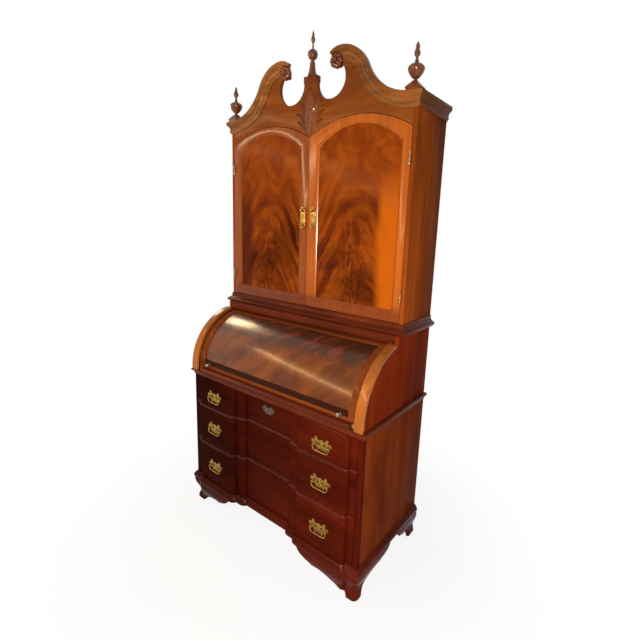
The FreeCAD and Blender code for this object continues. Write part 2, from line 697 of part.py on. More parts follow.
def gallery():
    """Pigeonholes over a row of low compartments, standing over the writing slide."""
    foot = WRITING_LEVEL + d.slide_thickness + d.lid_gap
    top = GALLERY_TOP
    inner = SLIDE_HALF + d.slide_gap
    depth = (GALLERY_FRONT, GALLERY_BACK)
    inside = (GALLERY_FRONT, GALLERY_BACK - d.gallery_board)
    end = block((inner, GALLERY_HALF), depth, (WRITING_LEVEL, top))
    shelf_top = foot + d.gallery_board + d.gallery_shelf
    levels = (foot, shelf_top, top - d.gallery_board)
    boards = [block((-inner, inner), inside, (level, level + d.gallery_board)) for level in levels]
    back = block((-inner, inner), (inside[1], depth[1]), (foot, top))
    step = inner * 2 / PIGEONHOLES
    dividers = []
    for index in range(1, PIGEONHOLES):
        middle = step * index - inner
        dividers.append(block((middle - d.gallery_board / 2, middle + d.gallery_board / 2), inside,
                              (shelf_top + d.gallery_board, top - d.gallery_board)))
    for middle in (-step, step):
        dividers.append(block((middle - d.gallery_board / 2, middle + d.gallery_board / 2), inside,
                              (foot + d.gallery_board, shelf_top)))
    keep("gallery", end, mirrored(end), back, *boards, *dividers)


def writing_slide():
    """The board that draws out over the waist moulding."""
    front = PIVOT_Y - LID_RADIUS - d.bead_thickness
    foot = WRITING_LEVEL + d.slide_gap
    keep("writing_slide", block((-SLIDE_HALF, SLIDE_HALF), (front, GALLERY_BACK - d.slide_back_gap),
                                (foot, foot + d.slide_thickness)))


KNOB_SHARES = ((0, 0), (0.62, 0), (0.62, 0.1), (0.36, 0.3, -0.2), (0.5, 0.42), (0.5, 0.94, 0.42), (0, 1))


def cylinder_lid():
    """A curved framed lid whose two quadrant ends turn on pins in the desk sides."""
    inner = LID_INNER
    opening_half = LID_HALF - d.lid_stile
    shell = prism("YZ_Plane", ring_sector(inner, LID_RADIUS, d.lid_low_angle, d.lid_high_angle),
                  -LID_HALF, LID_HALF * 2)
    opening = prism("YZ_Plane", ring_sector(inner - OVERRUN, LID_RADIUS + OVERRUN, d.lid_bottom_angle,
                                            d.lid_top_angle), -opening_half, opening_half * 2)
    keep("lid_frame", cut(shell, opening))
    face = LID_RADIUS - d.panel_drop
    keep("lid_panel", prism("YZ_Plane", ring_sector(face - d.panel_thickness, face, d.lid_bottom_angle,
                                                    d.lid_top_angle), -opening_half, opening_half * 2))
    start = LID_HALF - d.quadrant_thickness
    pie = [(PIVOT_Y, PIVOT_Z), on_arc(inner, d.quadrant_low_angle),
           (*on_arc(inner, d.quadrant_high_angle), inner, "right")]
    plate = fused(prism("YZ_Plane", pie, start, d.quadrant_thickness),
                  rod("x", (start, PIVOT_Y, PIVOT_Z), d.hub_radius, d.quadrant_thickness))
    bore = rod("x", (start - OVERRUN, PIVOT_Y, PIVOT_Z), d.pivot_radius + d.pivot_play,
               d.quadrant_thickness + OVERRUN * 2)
    quadrant = cut(plate, bore)
    keep("lid_quadrants", quadrant, mirrored(quadrant))
    pin = rod("x", (start, PIVOT_Y, PIVOT_Z), d.pivot_radius, d.quadrant_thickness + d.lid_gap)
    keep("lid_pivots", pin, mirrored(pin))
    knob = turned(shaped(ZERO, ZERO, d.knob_radius, d.knob_length, KNOB_SHARES))
    knob.Placement = FreeCAD.Placement(FreeCAD.Vector(), FreeCAD.Rotation(FreeCAD.Vector(1, 0, 0), 1))
    quarter_turn = sized(90)
    bind(knob, "Placement.Rotation.Angle", quarter_turn - d.knob_angle)
    place(knob, LID_HALF - d.knob_inset, *on_arc(LID_RADIUS, d.knob_angle))
    keep("lid_knobs", knob, mirrored(knob))


# The bookcase

BOOKCASE_HALF = CASE_HALF - d.bookcase_inset
BOOKCASE_INSIDE = BOOKCASE_HALF - d.bookcase_side
BOOKCASE_FLOOR = CASE_TOP + d.mid_height
CORNICE_LEVEL = CASE_TOP + d.cornice_level
CORNICE_TOP = CORNICE_LEVEL + d.cornice_height
FRONT_PLANE = -BOOKCASE_DEPTH
SHELF_SHARES = (0.26, 0.51, 0.76)


def bookcase_case():
    """Sides, bottom with its front rail, top and shelves."""
    side = block((BOOKCASE_INSIDE, BOOKCASE_HALF), (FRONT_PLANE, ZERO), (CASE_TOP, CORNICE_TOP))
    keep("bookcase_sides", side, mirrored(side))
    across = (-BOOKCASE_INSIDE, BOOKCASE_INSIDE)
    rear = FRONT_PLANE + d.tympanum_thickness
    floor = block(across, (FRONT_PLANE, -d.back_thickness), (BOOKCASE_FLOOR - d.bookcase_board, BOOKCASE_FLOOR))
    rail = block(across, (FRONT_PLANE, rear), (CASE_TOP, BOOKCASE_FLOOR - d.bookcase_board))
    roof = block(across, (rear, -d.back_thickness), (CORNICE_TOP - d.bookcase_board, CORNICE_TOP))
    keep("bookcase_boards", floor, rail, roof)
    clear_height = CORNICE_LEVEL - BOOKCASE_FLOOR
    shelves = []
    for share in SHELF_SHARES:
        level = BOOKCASE_FLOOR + clear_height * share
        shelf = block(across, (rear + d.shelf_gap, -d.back_thickness), (level, level + d.shelf_thickness))
        shelves.append(shelf)
    keep("shelves", *shelves)


# Doors

def arch_radius(half_span, rise):
    return (half_span * half_span + rise * rise) / (rise * 2)


DOOR_INNER = d.meeting_gap / 2
DOOR_OUTER = BOOKCASE_INSIDE - d.hinge_gap
DOOR_FOOT = BOOKCASE_FLOOR + d.door_rest
DOOR_CORNER = DOOR_FOOT + d.door_height
DOOR_MIDDLE = (DOOR_INNER + DOOR_OUTER) / 2
DOOR_SPAN = (DOOR_OUTER - DOOR_INNER) / 2
ARCH_RADIUS = arch_radius(DOOR_SPAN, d.door_arch_rise)
ARCH_CENTRE = DOOR_CORNER + d.door_arch_rise - ARCH_RADIUS
PANEL_LEFT = DOOR_INNER + d.meeting_stile
PANEL_RIGHT = DOOR_OUTER - d.door_stile
PANEL_FOOT = DOOR_FOOT + d.door_rail
SHOULDER = DOOR_FOOT + d.shoulder_height
PIN_X = BOOKCASE_INSIDE - d.hinge_gap / 2
PIN_Y = FRONT_PLANE - d.knuckle_radius - d.pin_stand
DOOR_PLATE_SHARES = ((0.12, 1), (0.78, 0.8, -0.25), (0.6, 0.5, 0.15), (1, 0.2, -0.2), (1, -0.2),
                     (0.6, -0.5, -0.2),
                     (0.78, -0.8, 0.15), (0.12, -1, -0.25))


def door_opening(grow=ZERO):
    """A door's arched opening, or one evenly larger, with a small square shoulder at each side of the arch."""
    left, right = PANEL_LEFT + d.shoulder_width - grow, PANEL_RIGHT - d.shoulder_width + grow
    half_span = (PANEL_RIGHT - PANEL_LEFT) / 2 - d.shoulder_width
    radius = arch_radius(half_span, d.panel_arch_rise)
    centre = SHOULDER + d.shoulder_rise + d.panel_arch_rise - radius
    radius = radius + grow
    half_span = half_span + grow
    spring = centre + root(radius * radius - half_span * half_span)
    foot, shoulder = PANEL_FOOT - grow, SHOULDER + grow
    outer_left, outer_right = PANEL_LEFT - grow, PANEL_RIGHT + grow
    return [(outer_left, foot), (outer_right, foot), (outer_right, shoulder), (right, shoulder),
            (right, spring), (left, spring, radius, "left"), (left, shoulder), (outer_left, shoulder)]


def door_wood():
    """The right door's frame, with a sloped edge round its opening, and its flat panel."""
    outline = [(DOOR_INNER, DOOR_FOOT), (DOOR_OUTER, DOOR_FOOT), (DOOR_OUTER, DOOR_CORNER),
               (DOOR_INNER, DOOR_CORNER, ARCH_RADIUS, "left")]
    back = BOOKCASE_DEPTH - d.door_thickness
    opening = prism("XZ_Plane", door_opening(), back - OVERRUN, d.door_thickness + OVERRUN * 2)
    panel_face = BOOKCASE_DEPTH - d.door_panel_setback
    edges = [(panel_face, door_opening()), (BOOKCASE_DEPTH, door_opening(d.sticking_width))]
    sticking = lofted("XZ_Plane", edges)
    frame = cut(prism("XZ_Plane", outline, back, d.door_thickness), opening, sticking)
    panel = prism("XZ_Plane", door_opening(), panel_face - d.door_panel_thickness, d.door_panel_thickness)
    return frame, panel


def hinge_leaves(foot):
    """One butt hinge: the case's leaf with its pin and outer knuckles, and the door's leaf."""
    third = d.hinge_height / 3
    top = foot + d.hinge_height
    plate_y = (FRONT_PLANE, FRONT_PLANE + d.leaf_depth)
    web_y = (PIN_Y, FRONT_PLANE)
    case_x = (BOOKCASE_INSIDE - d.leaf_thickness, BOOKCASE_INSIDE)
    door_x = (DOOR_OUTER, DOOR_OUTER + d.leaf_thickness)
    pin = rod("z", (PIN_X, PIN_Y, foot), d.pin_radius, d.hinge_height)
    case_pieces = [block(case_x, plate_y, (foot, top)), pin]
    for low in (foot, top - third):
        case_pieces.append(rod("z", (PIN_X, PIN_Y, low), d.knuckle_radius, third))
        case_pieces.append(block(case_x, web_y, (low, low + third)))
    low = foot + third + d.knuckle_gap
    length = third - d.knuckle_gap * 2
    door_leaf = fused(block(door_x, plate_y, (foot, top)), block(door_x, web_y, (low, low + length)),
                      rod("z", (PIN_X, PIN_Y, low), d.knuckle_radius, length))
    bore = rod("z", (PIN_X, PIN_Y, foot - OVERRUN), d.pin_radius + d.pin_play, d.hinge_height + OVERRUN * 2)
    return fused(*case_pieces), cut(door_leaf, bore)


def door_pull(x, z):
    """An upright plate with two posts."""
    half = shaped(ZERO, ZERO, d.door_plate_width / 2, d.door_plate_height / 2, DOOR_PLATE_SHARES)
    plate = prism("XZ_Plane", moved(both_sides(half), x, z), BOOKCASE_DEPTH, d.plate_thickness)
    posts = [post(x, z + d.door_post_spacing / 2 * side, FRONT_PLANE, "z") for side in (1, -1)]
    return [plate, *posts]


def upright_bail(x, z):
    """A bail that lies to the right of its posts and swings forward about them."""
    path = [(-corner[1], sized(corner[0])) + tuple(corner[2:])
            for corner in both_sides(bail_half(d.door_post_spacing, d.door_bail_drop))]
    reach = FRONT_PLANE - d.post_pin_reach
    section = round_section(x, reach, d.bail_radius)
    return swept("XZ_Plane", moved(path, x, z), -reach, "XY_Plane", section,
                 z + d.door_post_spacing / 2 - d.post_radius)


def doors():
    """Two arched doors; the left one mirrors the right one, apart from its bail."""
    frame, panel = door_wood()
    hinges = [hinge_leaves(DOOR_FOOT + low) for low in (d.hinge_low, d.hinge_high)]
    case_leaves = [case_leaf for case_leaf, door_leaf in hinges]
    door_leaves = [door_leaf for case_leaf, door_leaf in hinges]
    keep("hinge_case_leaves", *case_leaves, *[mirrored(leaf) for leaf in case_leaves])
    level = DOOR_FOOT + d.door_pull_level
    pull = door_pull(d.door_pull_place, level)
    keep("door_right_frame", frame)
    keep("door_right_panel", panel)
    keep("door_right_hinges", *door_leaves)
    keep("door_right_pull", *pull)
    keep("door_right_bail", upright_bail(d.door_pull_place, level))
    keep("door_left_frame", mirrored(frame))
    keep("door_left_panel", mirrored(panel))
    keep("door_left_hinges", *[mirrored(leaf) for leaf in door_leaves])
    keep("door_left_pull", *[mirrored(piece) for piece in pull])
    keep("door_left_bail", upright_bail(-d.door_pull_place, level))


# The pediment

SCROLL_SWEEP_SHARE = 0.75
SCROLL_START = BOOKCASE_HALF - d.scroll_inset
SCROLL_RUN = SCROLL_START - d.scroll_gap
ROSETTE_X = d.scroll_gap - d.rosette_inset
ROSETTE_Z = CORNICE_LEVEL + d.scroll_rise + d.rosette_lift
PLINTH_LEVEL = CORNICE_LEVEL + d.plinth_level
CORNICE_SHARES = ((0, 0), (0.25, 0), (0.25, 0.1), (0.4, 0.16), (0.4, 0.24), (0.8, 0.66, -0.18), (0.9, 0.66),
                  (0.9, 0.74), (1, 0.84, 0.3), (1, 1), (0, 1))
ROSETTE_BACK_SHARES = ((-0.4, -0.7), (0.3, -0.7), (0.8, -0.3))
ROSETTE_SHARES = ((0, 0), (1, 0), (1, 0.5), (0.82, 0.62, 0.3), (0.66, 0.5), (0.34, 0.62, 0.1), (0.34, 0.76),
                  (0.18, 0.95, 0.2), (0, 1))
LEAF_ANGLES = (0, 28, 54, 80)
LEAF_LENGTH_SHARES = (1, 0.66, 0.6, 0.58)
LEAF_BOW_SHARE = 0.1


def scroll_curve(lift):
    """The swan neck at a height above its lower edge: a long hollow sweep, a crest and a tighter curl."""
    total = arch_radius(SCROLL_RUN, d.scroll_rise)
    sweep = total * SCROLL_SWEEP_SHARE - lift
    crest = total - sweep
    share = sweep / total
    level = CORNICE_LEVEL + lift
    top = level + d.scroll_rise
    curl = d.curl_radius + lift
    curl_x = d.scroll_gap - curl * sine(d.scroll_curl)
    curl_z = top - curl + curl * cosine(d.scroll_curl)
    return [(SCROLL_START, level),
            (SCROLL_START - SCROLL_RUN * share, level + d.scroll_rise * share, sweep, "right"),
            (d.scroll_gap, top, crest, "left"),
            (curl_x, curl_z, curl, "left")]


def cornice_section(face, outward):
    """The cornice profile in section, standing out from a face."""
    return shaped(face, CORNICE_LEVEL, outward, d.cornice_height, CORNICE_SHARES)


def cornices():
    """Two swan-neck mouldings and two straight side cornices, mitred where they meet."""
    outer = BOOKCASE_HALF + d.cornice_reach
    front = FRONT_PLANE - d.cornice_reach
    path = [(outer, CORNICE_LEVEL)] + scroll_curve(ZERO)
    section = cornice_section(FRONT_PLANE, -d.cornice_reach)
    neck = swept("XZ_Plane", path, BOOKCASE_DEPTH, "YZ_Plane", section, outer)
    height = d.cornice_height + OVERRUN * 2
    front_mitre = prism("XY_Plane", [(BOOKCASE_HALF, FRONT_PLANE), (outer, front), (outer, FRONT_PLANE)],
                        CORNICE_LEVEL - OVERRUN, height)
    side_mitre = prism("XY_Plane", [(BOOKCASE_HALF, FRONT_PLANE), (outer, front), (BOOKCASE_HALF, front)],
                       CORNICE_LEVEL - OVERRUN, height)
    seat_radius = d.rosette_radius + d.rosette_play
    seat = rod("-y", (ROSETTE_X, FRONT_PLANE + OVERRUN, ROSETTE_Z), seat_radius, d.cornice_reach + OVERRUN * 2)
    scroll = cut(neck, front_mitre, seat)
    keep("scroll_mouldings", scroll, mirrored(scroll))
    side = cut(prism("XZ_Plane", cornice_section(BOOKCASE_HALF, d.cornice_reach), ZERO, -front), side_mitre)
    keep("side_cornices", side, mirrored(side))


def tympanum():
    """The board over the doors: two arches below, the swan necks and two round gaps above."""
    radius = ARCH_RADIUS + d.arch_gap
    valley_reach = DOOR_MIDDLE - DOOR_INNER
    outer_reach = BOOKCASE_INSIDE - DOOR_MIDDLE
    valley = ARCH_CENTRE + root(radius * radius - valley_reach * valley_reach)
    haunch = ARCH_CENTRE + root(radius * radius - outer_reach * outer_reach)
    behind_rosette = shaped(ROSETTE_X, ROSETTE_Z, d.rosette_radius, d.rosette_radius, ROSETTE_BACK_SHARES)
    plinth_half = d.plinth_width / 2
    gap_x, gap_z = plinth_half + d.gap_radius, CORNICE_LEVEL + d.gap_level
    open_x, open_z = d.gap_radius * cosine(d.gap_open_angle), d.gap_radius * sine(d.gap_open_angle)
    gap = [(gap_x + open_x, gap_z + open_z), (gap_x, gap_z - d.gap_radius, d.gap_radius, "right"),
           (plinth_half, gap_z, d.gap_radius, "right"), (plinth_half, PLINTH_LEVEL)]
    half = [(DOOR_INNER, valley), (BOOKCASE_INSIDE, haunch, radius, "right"),
            (BOOKCASE_INSIDE, CORNICE_LEVEL + d.cornice_height / 2)]
    half += scroll_curve(d.cornice_height / 2)[1:] + behind_rosette + gap
    back = BOOKCASE_DEPTH - d.tympanum_thickness
    keep("tympanum", prism("XZ_Plane", both_sides(half), back, d.tympanum_thickness))


def upright_to_front(body):
    """Lays a turned piece down so that its axis points forward."""
    body.Placement = FreeCAD.Placement(FreeCAD.Vector(), FreeCAD.Rotation(FreeCAD.Vector(1, 0, 0), 90))
    return body


def ornaments():
    """Rosettes at the scroll ends and a fan of leaves in the middle."""
    rosette = upright_to_front(turned(shaped(ZERO, ZERO, d.rosette_radius, d.rosette_depth, ROSETTE_SHARES)))
    place(rosette, ROSETTE_X, FRONT_PLANE, ROSETTE_Z)
    keep("rosettes", rosette, mirrored(rosette))
    leaves = []
    for angle, share in zip(LEAF_ANGLES, LEAF_LENGTH_SHARES):
        length = d.spray_height * share
        outline = shaped(ZERO, ZERO, length, length, ((0, 0, LEAF_BOW_SHARE), (0, 1, LEAF_BOW_SHARE)))
        leaf = prism("XZ_Plane", outline, ZERO, d.spray_thickness)
        leaf.Placement = FreeCAD.Placement(FreeCAD.Vector(), FreeCAD.Rotation(FreeCAD.Vector(0, 1, 0), angle))
        place(leaf, ZERO, FRONT_PLANE, CORNICE_LEVEL - d.spray_low)
        leaves.append(leaf)
        if angle:
            leaves.append(mirrored(leaf))
    keep("carved_spray", fused(*leaves))


CORNER_FINIAL_SHARES = ((0, 0), (0.2, 0), (0.2, 0.02), (1, 0.33, 0.12), (0.24, 0.54, 0.3), (0.15, 0.6, -0.12),
                        (0.14, 0.67), (0.32, 0.83, 0.1), (0.19, 0.93, 0.06), (0, 1))
CENTRE_FINIAL_SHARES = ((0, 0), (0.9, 0), (0.9, 0.03), (0.4, 0.33, -0.05), (0.36, 0.36), (1, 0.4775, 0.155),
                        (0.2, 0.597, 0.18), (0.16, 0.64, -0.1), (0.15, 0.74), (0.34, 0.86, 0.06),
                        (0.2, 0.945, 0.06), (0, 1))


def square(x, y, width):
    half = width / 2
    return [(x - half, y - half), (x + half, y - half), (x + half, y + half), (x - half, y + half)]


def finials():
    """Two corner finials on capped blocks, and a taller one on the plinth."""
    right = BOOKCASE_HALF + d.finial_block_outset
    front = FRONT_PLANE - d.cornice_reach
    x, y = right - d.finial_block / 2, front + d.finial_block / 2
    foot = CORNICE_TOP + d.finial_block_lift
    cap = foot + d.finial_block_height
    seat = block((SCROLL_START, right), (front, front + d.finial_block), (CORNICE_TOP, foot))
    body = block((right - d.finial_block, right), (front, front + d.finial_block), (foot, cap))
    slope = lofted("XY_Plane", [(cap, square(x, y, d.finial_block)),
                                (cap + d.finial_cap_height, square(x, y, d.finial_cap_width))])
    capped_block = fused(seat, body, slope)
    keep("finial_blocks", capped_block, mirrored(capped_block))
    corner = turned(shaped(ZERO, ZERO, d.corner_finial_radius, d.corner_finial_height, CORNER_FINIAL_SHARES))
    place(corner, x, y, cap + d.finial_cap_height)
    keep("corner_finials", corner, mirrored(corner))
    middle = FRONT_PLANE + d.tympanum_thickness / 2
    half_depth = d.plinth_depth / 2
    half_width = d.plinth_width / 2
    keep("centre_plinth", block((-half_width, half_width), (middle - half_depth, middle + half_depth),
                                (PLINTH_LEVEL, PLINTH_LEVEL + d.plinth_height)))
    centre = turned(shaped(ZERO, ZERO, d.centre_finial_radius, d.centre_finial_height, CENTRE_FINIAL_SHARES))
    place(centre, ZERO, middle, PLINTH_LEVEL + d.plinth_height)
    keep("centre_finial", centre)


# Assembly and export

DRAWERS = (("bottom", BOTTOM_LEVEL, d.bottom_drawer_height, ZERO),
           ("middle", MIDDLE_LEVEL, d.middle_drawer_height, ZERO),
           ("top", TOP_LEVEL, d.top_drawer_height, d.block_ledge))
PULL_LEVEL_SHARES = {"bottom": 0.52, "middle": 0.51, "top": 0.43}

chest_case()
runners()
back_boards()
base_moulding()
bracket_feet()
for name, low, height, ledge in DRAWERS:
    drawer(name, low, height, PULL_LEVEL_SHARES[name], ledge)
desk_case()
gallery()
writing_slide()
cylinder_lid()
bookcase_case()
doors()
cornices()
tympanum()
ornaments()
finials()
doc.recompute()

for item in doc.Objects:
    if "Invalid" in item.State or "Error" in item.State:
        raise RuntimeError(f"{item.Label} did not build: {item.State}")
for subpart in subparts:
    if subpart.Shape.isNull() or not subpart.Shape.isValid() or not subpart.Shape.Solids:
        raise RuntimeError(f"{subpart.Label} is not a valid solid")
os.makedirs("parts", exist_ok=True)
for subpart in subparts:
    subpart.Shape.exportStep(f"parts/{subpart.Label}.step")
print(len(subparts), "sub-parts")
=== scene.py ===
import json
import math

import bmesh
import bpy
from mathutils import Matrix, Vector


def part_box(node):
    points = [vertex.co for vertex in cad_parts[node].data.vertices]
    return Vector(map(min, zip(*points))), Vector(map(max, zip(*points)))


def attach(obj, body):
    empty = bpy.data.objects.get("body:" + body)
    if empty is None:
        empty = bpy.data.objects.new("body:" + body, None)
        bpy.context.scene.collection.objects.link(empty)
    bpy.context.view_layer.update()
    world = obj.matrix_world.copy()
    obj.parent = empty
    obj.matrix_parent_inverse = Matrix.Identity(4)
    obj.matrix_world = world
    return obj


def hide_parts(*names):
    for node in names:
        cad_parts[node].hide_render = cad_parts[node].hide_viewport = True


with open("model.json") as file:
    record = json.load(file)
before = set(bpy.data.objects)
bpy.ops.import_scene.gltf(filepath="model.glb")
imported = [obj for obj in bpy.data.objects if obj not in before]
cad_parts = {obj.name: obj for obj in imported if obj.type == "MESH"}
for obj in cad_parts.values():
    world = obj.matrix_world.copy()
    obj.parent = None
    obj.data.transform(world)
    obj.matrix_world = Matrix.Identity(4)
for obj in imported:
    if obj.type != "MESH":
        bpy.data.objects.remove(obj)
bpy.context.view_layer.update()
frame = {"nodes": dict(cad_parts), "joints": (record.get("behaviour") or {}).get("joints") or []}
nodes = frame["nodes"]

MM = 0.001
SHARP_ANGLE = math.radians(36)


# Shader helpers

COAT_ROUGHNESS = 0.14


class Shader:
    """A material's node tree, with short calls for the nodes that the finishes share."""

    def __init__(self, name):
        self.material = bpy.data.materials.new(name)
        self.material.use_nodes = True
        self.tree = self.material.node_tree
        self.surface = self.tree.nodes["Principled BSDF"]

    def put(self, socket, value):
        """Links a socket to another node's output, or sets its value."""
        if isinstance(value, bpy.types.NodeSocket):
            self.tree.links.new(value, socket)
        else:
            socket.default_value = value

    def math(self, operation, first, second=0.0):
        node = self.tree.nodes.new("ShaderNodeMath")
        node.operation = operation
        self.put(node.inputs[0], first)
        self.put(node.inputs[1], second)
        return node.outputs[0]

    def plus(self, first, second):
        return self.math("ADD", first, second)

    def less(self, first, second):
        return self.math("SUBTRACT", first, second)

    def times(self, first, second):
        return self.math("MULTIPLY", first, second)

    def size(self, value):
        return self.math("ABSOLUTE", value)

    def place(self):
        """The surface point in the row frame's metres, which moves with the piece."""
        return self.tree.nodes.new("ShaderNodeTexCoord").outputs["Object"]

    def split(self, vector):
        node = self.tree.nodes.new("ShaderNodeSeparateXYZ")
        self.put(node.inputs[0], vector)
        return node.outputs

    def join(self, x, y):
        node = self.tree.nodes.new("ShaderNodeCombineXYZ")
        self.put(node.inputs[0], x)
        self.put(node.inputs[1], y)
        return node.outputs[0]

    def drawn_out(self, vector, along, share):
        """A point squeezed along one axis to a share, so that a texture on it is drawn out there."""
        node = self.tree.nodes.new("ShaderNodeMapping")
        self.put(node.inputs["Vector"], vector)
        node.inputs["Scale"].default_value = tuple(share if axis == along else 1.0 for axis in "xyz")
        return node.outputs[0]

    def noise(self, vector, scale, detail=4.0, roughness=0.55, distortion=0.0):
        node = self.tree.nodes.new("ShaderNodeTexNoise")
        self.put(node.inputs["Vector"], vector)
        for name, value in (("Scale", scale), ("Detail", detail), ("Roughness", roughness),
                            ("Distortion", distortion)):
            node.inputs[name].default_value = value
        return node.outputs["Fac"]

    def swing(self, value, reach):
        """A noise value as a shift of up to about half its reach to either side."""
        return self.times(self.less(value, 0.5), reach)

    def ramp(self, value, stops):
        """stops are (place, colour) or (place, grey) pairs."""
        node = self.tree.nodes.new("ShaderNodeValToRGB")
        self.put(node.inputs[0], value)
        elements = node.color_ramp.elements
        while len(elements) < len(stops):
            elements.new(0.5)
        for element, (place, colour) in zip(elements, stops):
            element.position = place
            element.color = (*colour, 1.0) if isinstance(colour, tuple) else (colour, colour, colour, 1.0)
        return node.outputs[0]

    def between(self, value, low, high):
        """0 at low and 1 at high, with a smooth rise."""
        node = self.tree.nodes.new("ShaderNodeMapRange")
        node.interpolation_type = "SMOOTHSTEP"
        self.put(node.inputs["Value"], value)
        node.inputs["From Min"].default_value = low
        node.inputs["From Max"].default_value = high
        return node.outputs["Result"]

    def below(self, value, low, high):
        """1 at low and 0 at high, with a smooth fall."""
        return self.less(1.0, self.between(value, low, high))

    def mix(self, factor, first, second, mode="MIX"):
        node = self.tree.nodes.new("ShaderNodeMix")
        node.data_type = "RGBA"
        node.blend_type = mode
        self.put(node.inputs[0], factor)
        for socket, value in ((node.inputs[6], first), (node.inputs[7], second)):
            self.put(socket, (*value, 1.0) if isinstance(value, tuple) else value)
        return node.outputs[2]

    def shade(self, factor, colour, value, stops):
        """A colour multiplied by the greys that stops give a value."""
        return self.mix(factor, colour, self.ramp(value, stops), "MULTIPLY")

    def bump(self, height, strength, distance):
        node = self.tree.nodes.new("ShaderNodeBump")
        node.inputs["Strength"].default_value = strength
        node.inputs["Distance"].default_value = distance
        self.put(node.inputs["Height"], height)
        self.put(self.surface.inputs["Normal"], node.outputs[0])

    def finish(self, colour, roughness, coat=0.0, specular=0.5, tint=(1.0, 1.0, 1.0), metal=0.0):
        self.put(self.surface.inputs["Base Color"], colour)
        self.put(self.surface.inputs["Roughness"], roughness)
        for name, value in (("Metallic", metal), ("Coat Weight", coat), ("Coat Roughness", COAT_ROUGHNESS),
                            ("Specular IOR Level", specular), ("Specular Tint", (*tint, 1.0))):
            self.surface.inputs[name].default_value = value
        return self.material


# Straight-grained wood

GRAIN_SHARE, PORE_SHARE, CLOUD_SHARE = 0.05, 0.02, 0.35
PORE_STOPS = ((0.34, 0.5), (0.46, 1.0))
POLISH_TINT = (1.0, 0.52, 0.24)

# Each shade has its dark, middle and light colours, coat and specular level. One with painted shade also has
# an axis, two places along it in metres, and the share of its colour that is left at the first place, where
# less light falls.
# Painted shade: the drawer fronts, stiles, blades, base moulding and feet darken toward the left.
PAINTED_SHADE_LEFT = (0, -0.5, 0.42)
# Painted shade: the arc beads darken toward the top.
PAINTED_SHADE_TOP = (2, 1.04, 0.82)
SHADES = {
    "deep": ((0.05, 0.0045, 0.0014), (0.088, 0.0082, 0.002), (0.118, 0.012, 0.003), 0.035, 0.0,
             (*PAINTED_SHADE_LEFT, 0.3)),
    "nose": ((0.06, 0.0056, 0.0017), (0.1, 0.0102, 0.0027), (0.14, 0.0155, 0.004), 0.15, 0.02,
             (*PAINTED_SHADE_LEFT, 0.42)),
    "foot": ((0.05, 0.0048, 0.0014), (0.09, 0.0092, 0.0024), (0.13, 0.0145, 0.0037), 0.09, 0.015,
             (*PAINTED_SHADE_LEFT, 0.5)),
    "bead": ((0.28, 0.072, 0.009), (0.44, 0.128, 0.018), (0.58, 0.188, 0.029), 0.2, 0.12,
             (*PAINTED_SHADE_TOP, 0.62)),
    # The base sides: the side wood made browner, partly its own tone and partly a painted sheen of reflected
    # light.
    "flank": ((0.12, 0.019, 0.004), (0.2, 0.036, 0.008), (0.27, 0.056, 0.013), 0.006, 0.001),
    "side": ((0.12, 0.0125, 0.003), (0.2, 0.023, 0.005), (0.27, 0.036, 0.008), 0.006, 0.001),
    "wall": ((0.16, 0.032, 0.005), (0.28, 0.058, 0.009), (0.38, 0.086, 0.013), 0.006, 0.001),
    "red": ((0.06, 0.009, 0.002), (0.11, 0.017, 0.004), (0.17, 0.03, 0.007), 0.09, 0.03),
    "brown": ((0.1, 0.02, 0.005), (0.18, 0.041, 0.008), (0.27, 0.068, 0.014), 0.13, 0.05),
    "scroll": ((0.125, 0.035, 0.006), (0.24, 0.08, 0.014), (0.36, 0.135, 0.028), 0.15, 0.1),
    "carved": ((0.07, 0.016, 0.005), (0.14, 0.035, 0.009), (0.22, 0.062, 0.016), 0.5, 0.1),
    "cornice": ((0.085, 0.023, 0.006), (0.15, 0.045, 0.011), (0.22, 0.072, 0.018), 0.03, 0.02),
    "spray": ((0.1, 0.024, 0.005), (0.18, 0.045, 0.008), (0.26, 0.07, 0.013), 0.3, 0.09),
    "crest": ((0.14, 0.034, 0.006), (0.23, 0.06, 0.01), (0.31, 0.088, 0.016), 0.04, 0.03),
    # The door frames: one wood, darker amber on the left door as painted shade and brighter orange on the
    # right as painted light.
    "amber": ((0.16, 0.035, 0.005), (0.25, 0.058, 0.008), (0.33, 0.084, 0.012), 0.26, 0.12),
    "orange": ((0.27, 0.054, 0.004), (0.41, 0.093, 0.006), (0.53, 0.133, 0.009), 0.22, 0.1),
}
RED_WOOD = SHADES["red"][:3]
PLAIN_WOOD = ((0.19, 0.1, 0.045), (0.34, 0.2, 0.09), (0.47, 0.31, 0.16))
DOOR_RAIL_FADE = (0.035, 0.075)


def wood_colour(shader, place, along, dark, middle, light):
    """Broad shading, growth bands and fine dark pores along one axis."""
    grain_place = shader.drawn_out(place, along, GRAIN_SHARE)
    bands = shader.noise(grain_place, 30.0, detail=6.0, roughness=0.56, distortion=0.4)
    colour = shader.ramp(bands, ((0.2, dark), (0.5, middle), (0.84, light)))
    broad = shader.noise(place, 2.6, detail=2.0)
    colour = shader.shade(0.5, colour, broad, ((0.3, 0.62), (0.7, 1.0)))
    pores = shader.noise(shader.drawn_out(place, along, PORE_SHARE), 620.0, detail=2.0)
    return shader.shade(0.18, colour, pores, PORE_STOPS), pores


def polish(shader, colour, pores, place, coat, specular):
    """French polish over the colour: a thin clear coat, rubbed patches and pores that barely show."""
    rubbed = shader.noise(place, 14.0, detail=5.0, roughness=0.6)
    rough = shader.ramp(rubbed, ((0.3, 0.2), (0.75, 0.34)))
    shader.bump(pores, 0.05, 0.0005)
    return shader.finish(colour, rough, coat=coat, specular=specular, tint=POLISH_TINT)


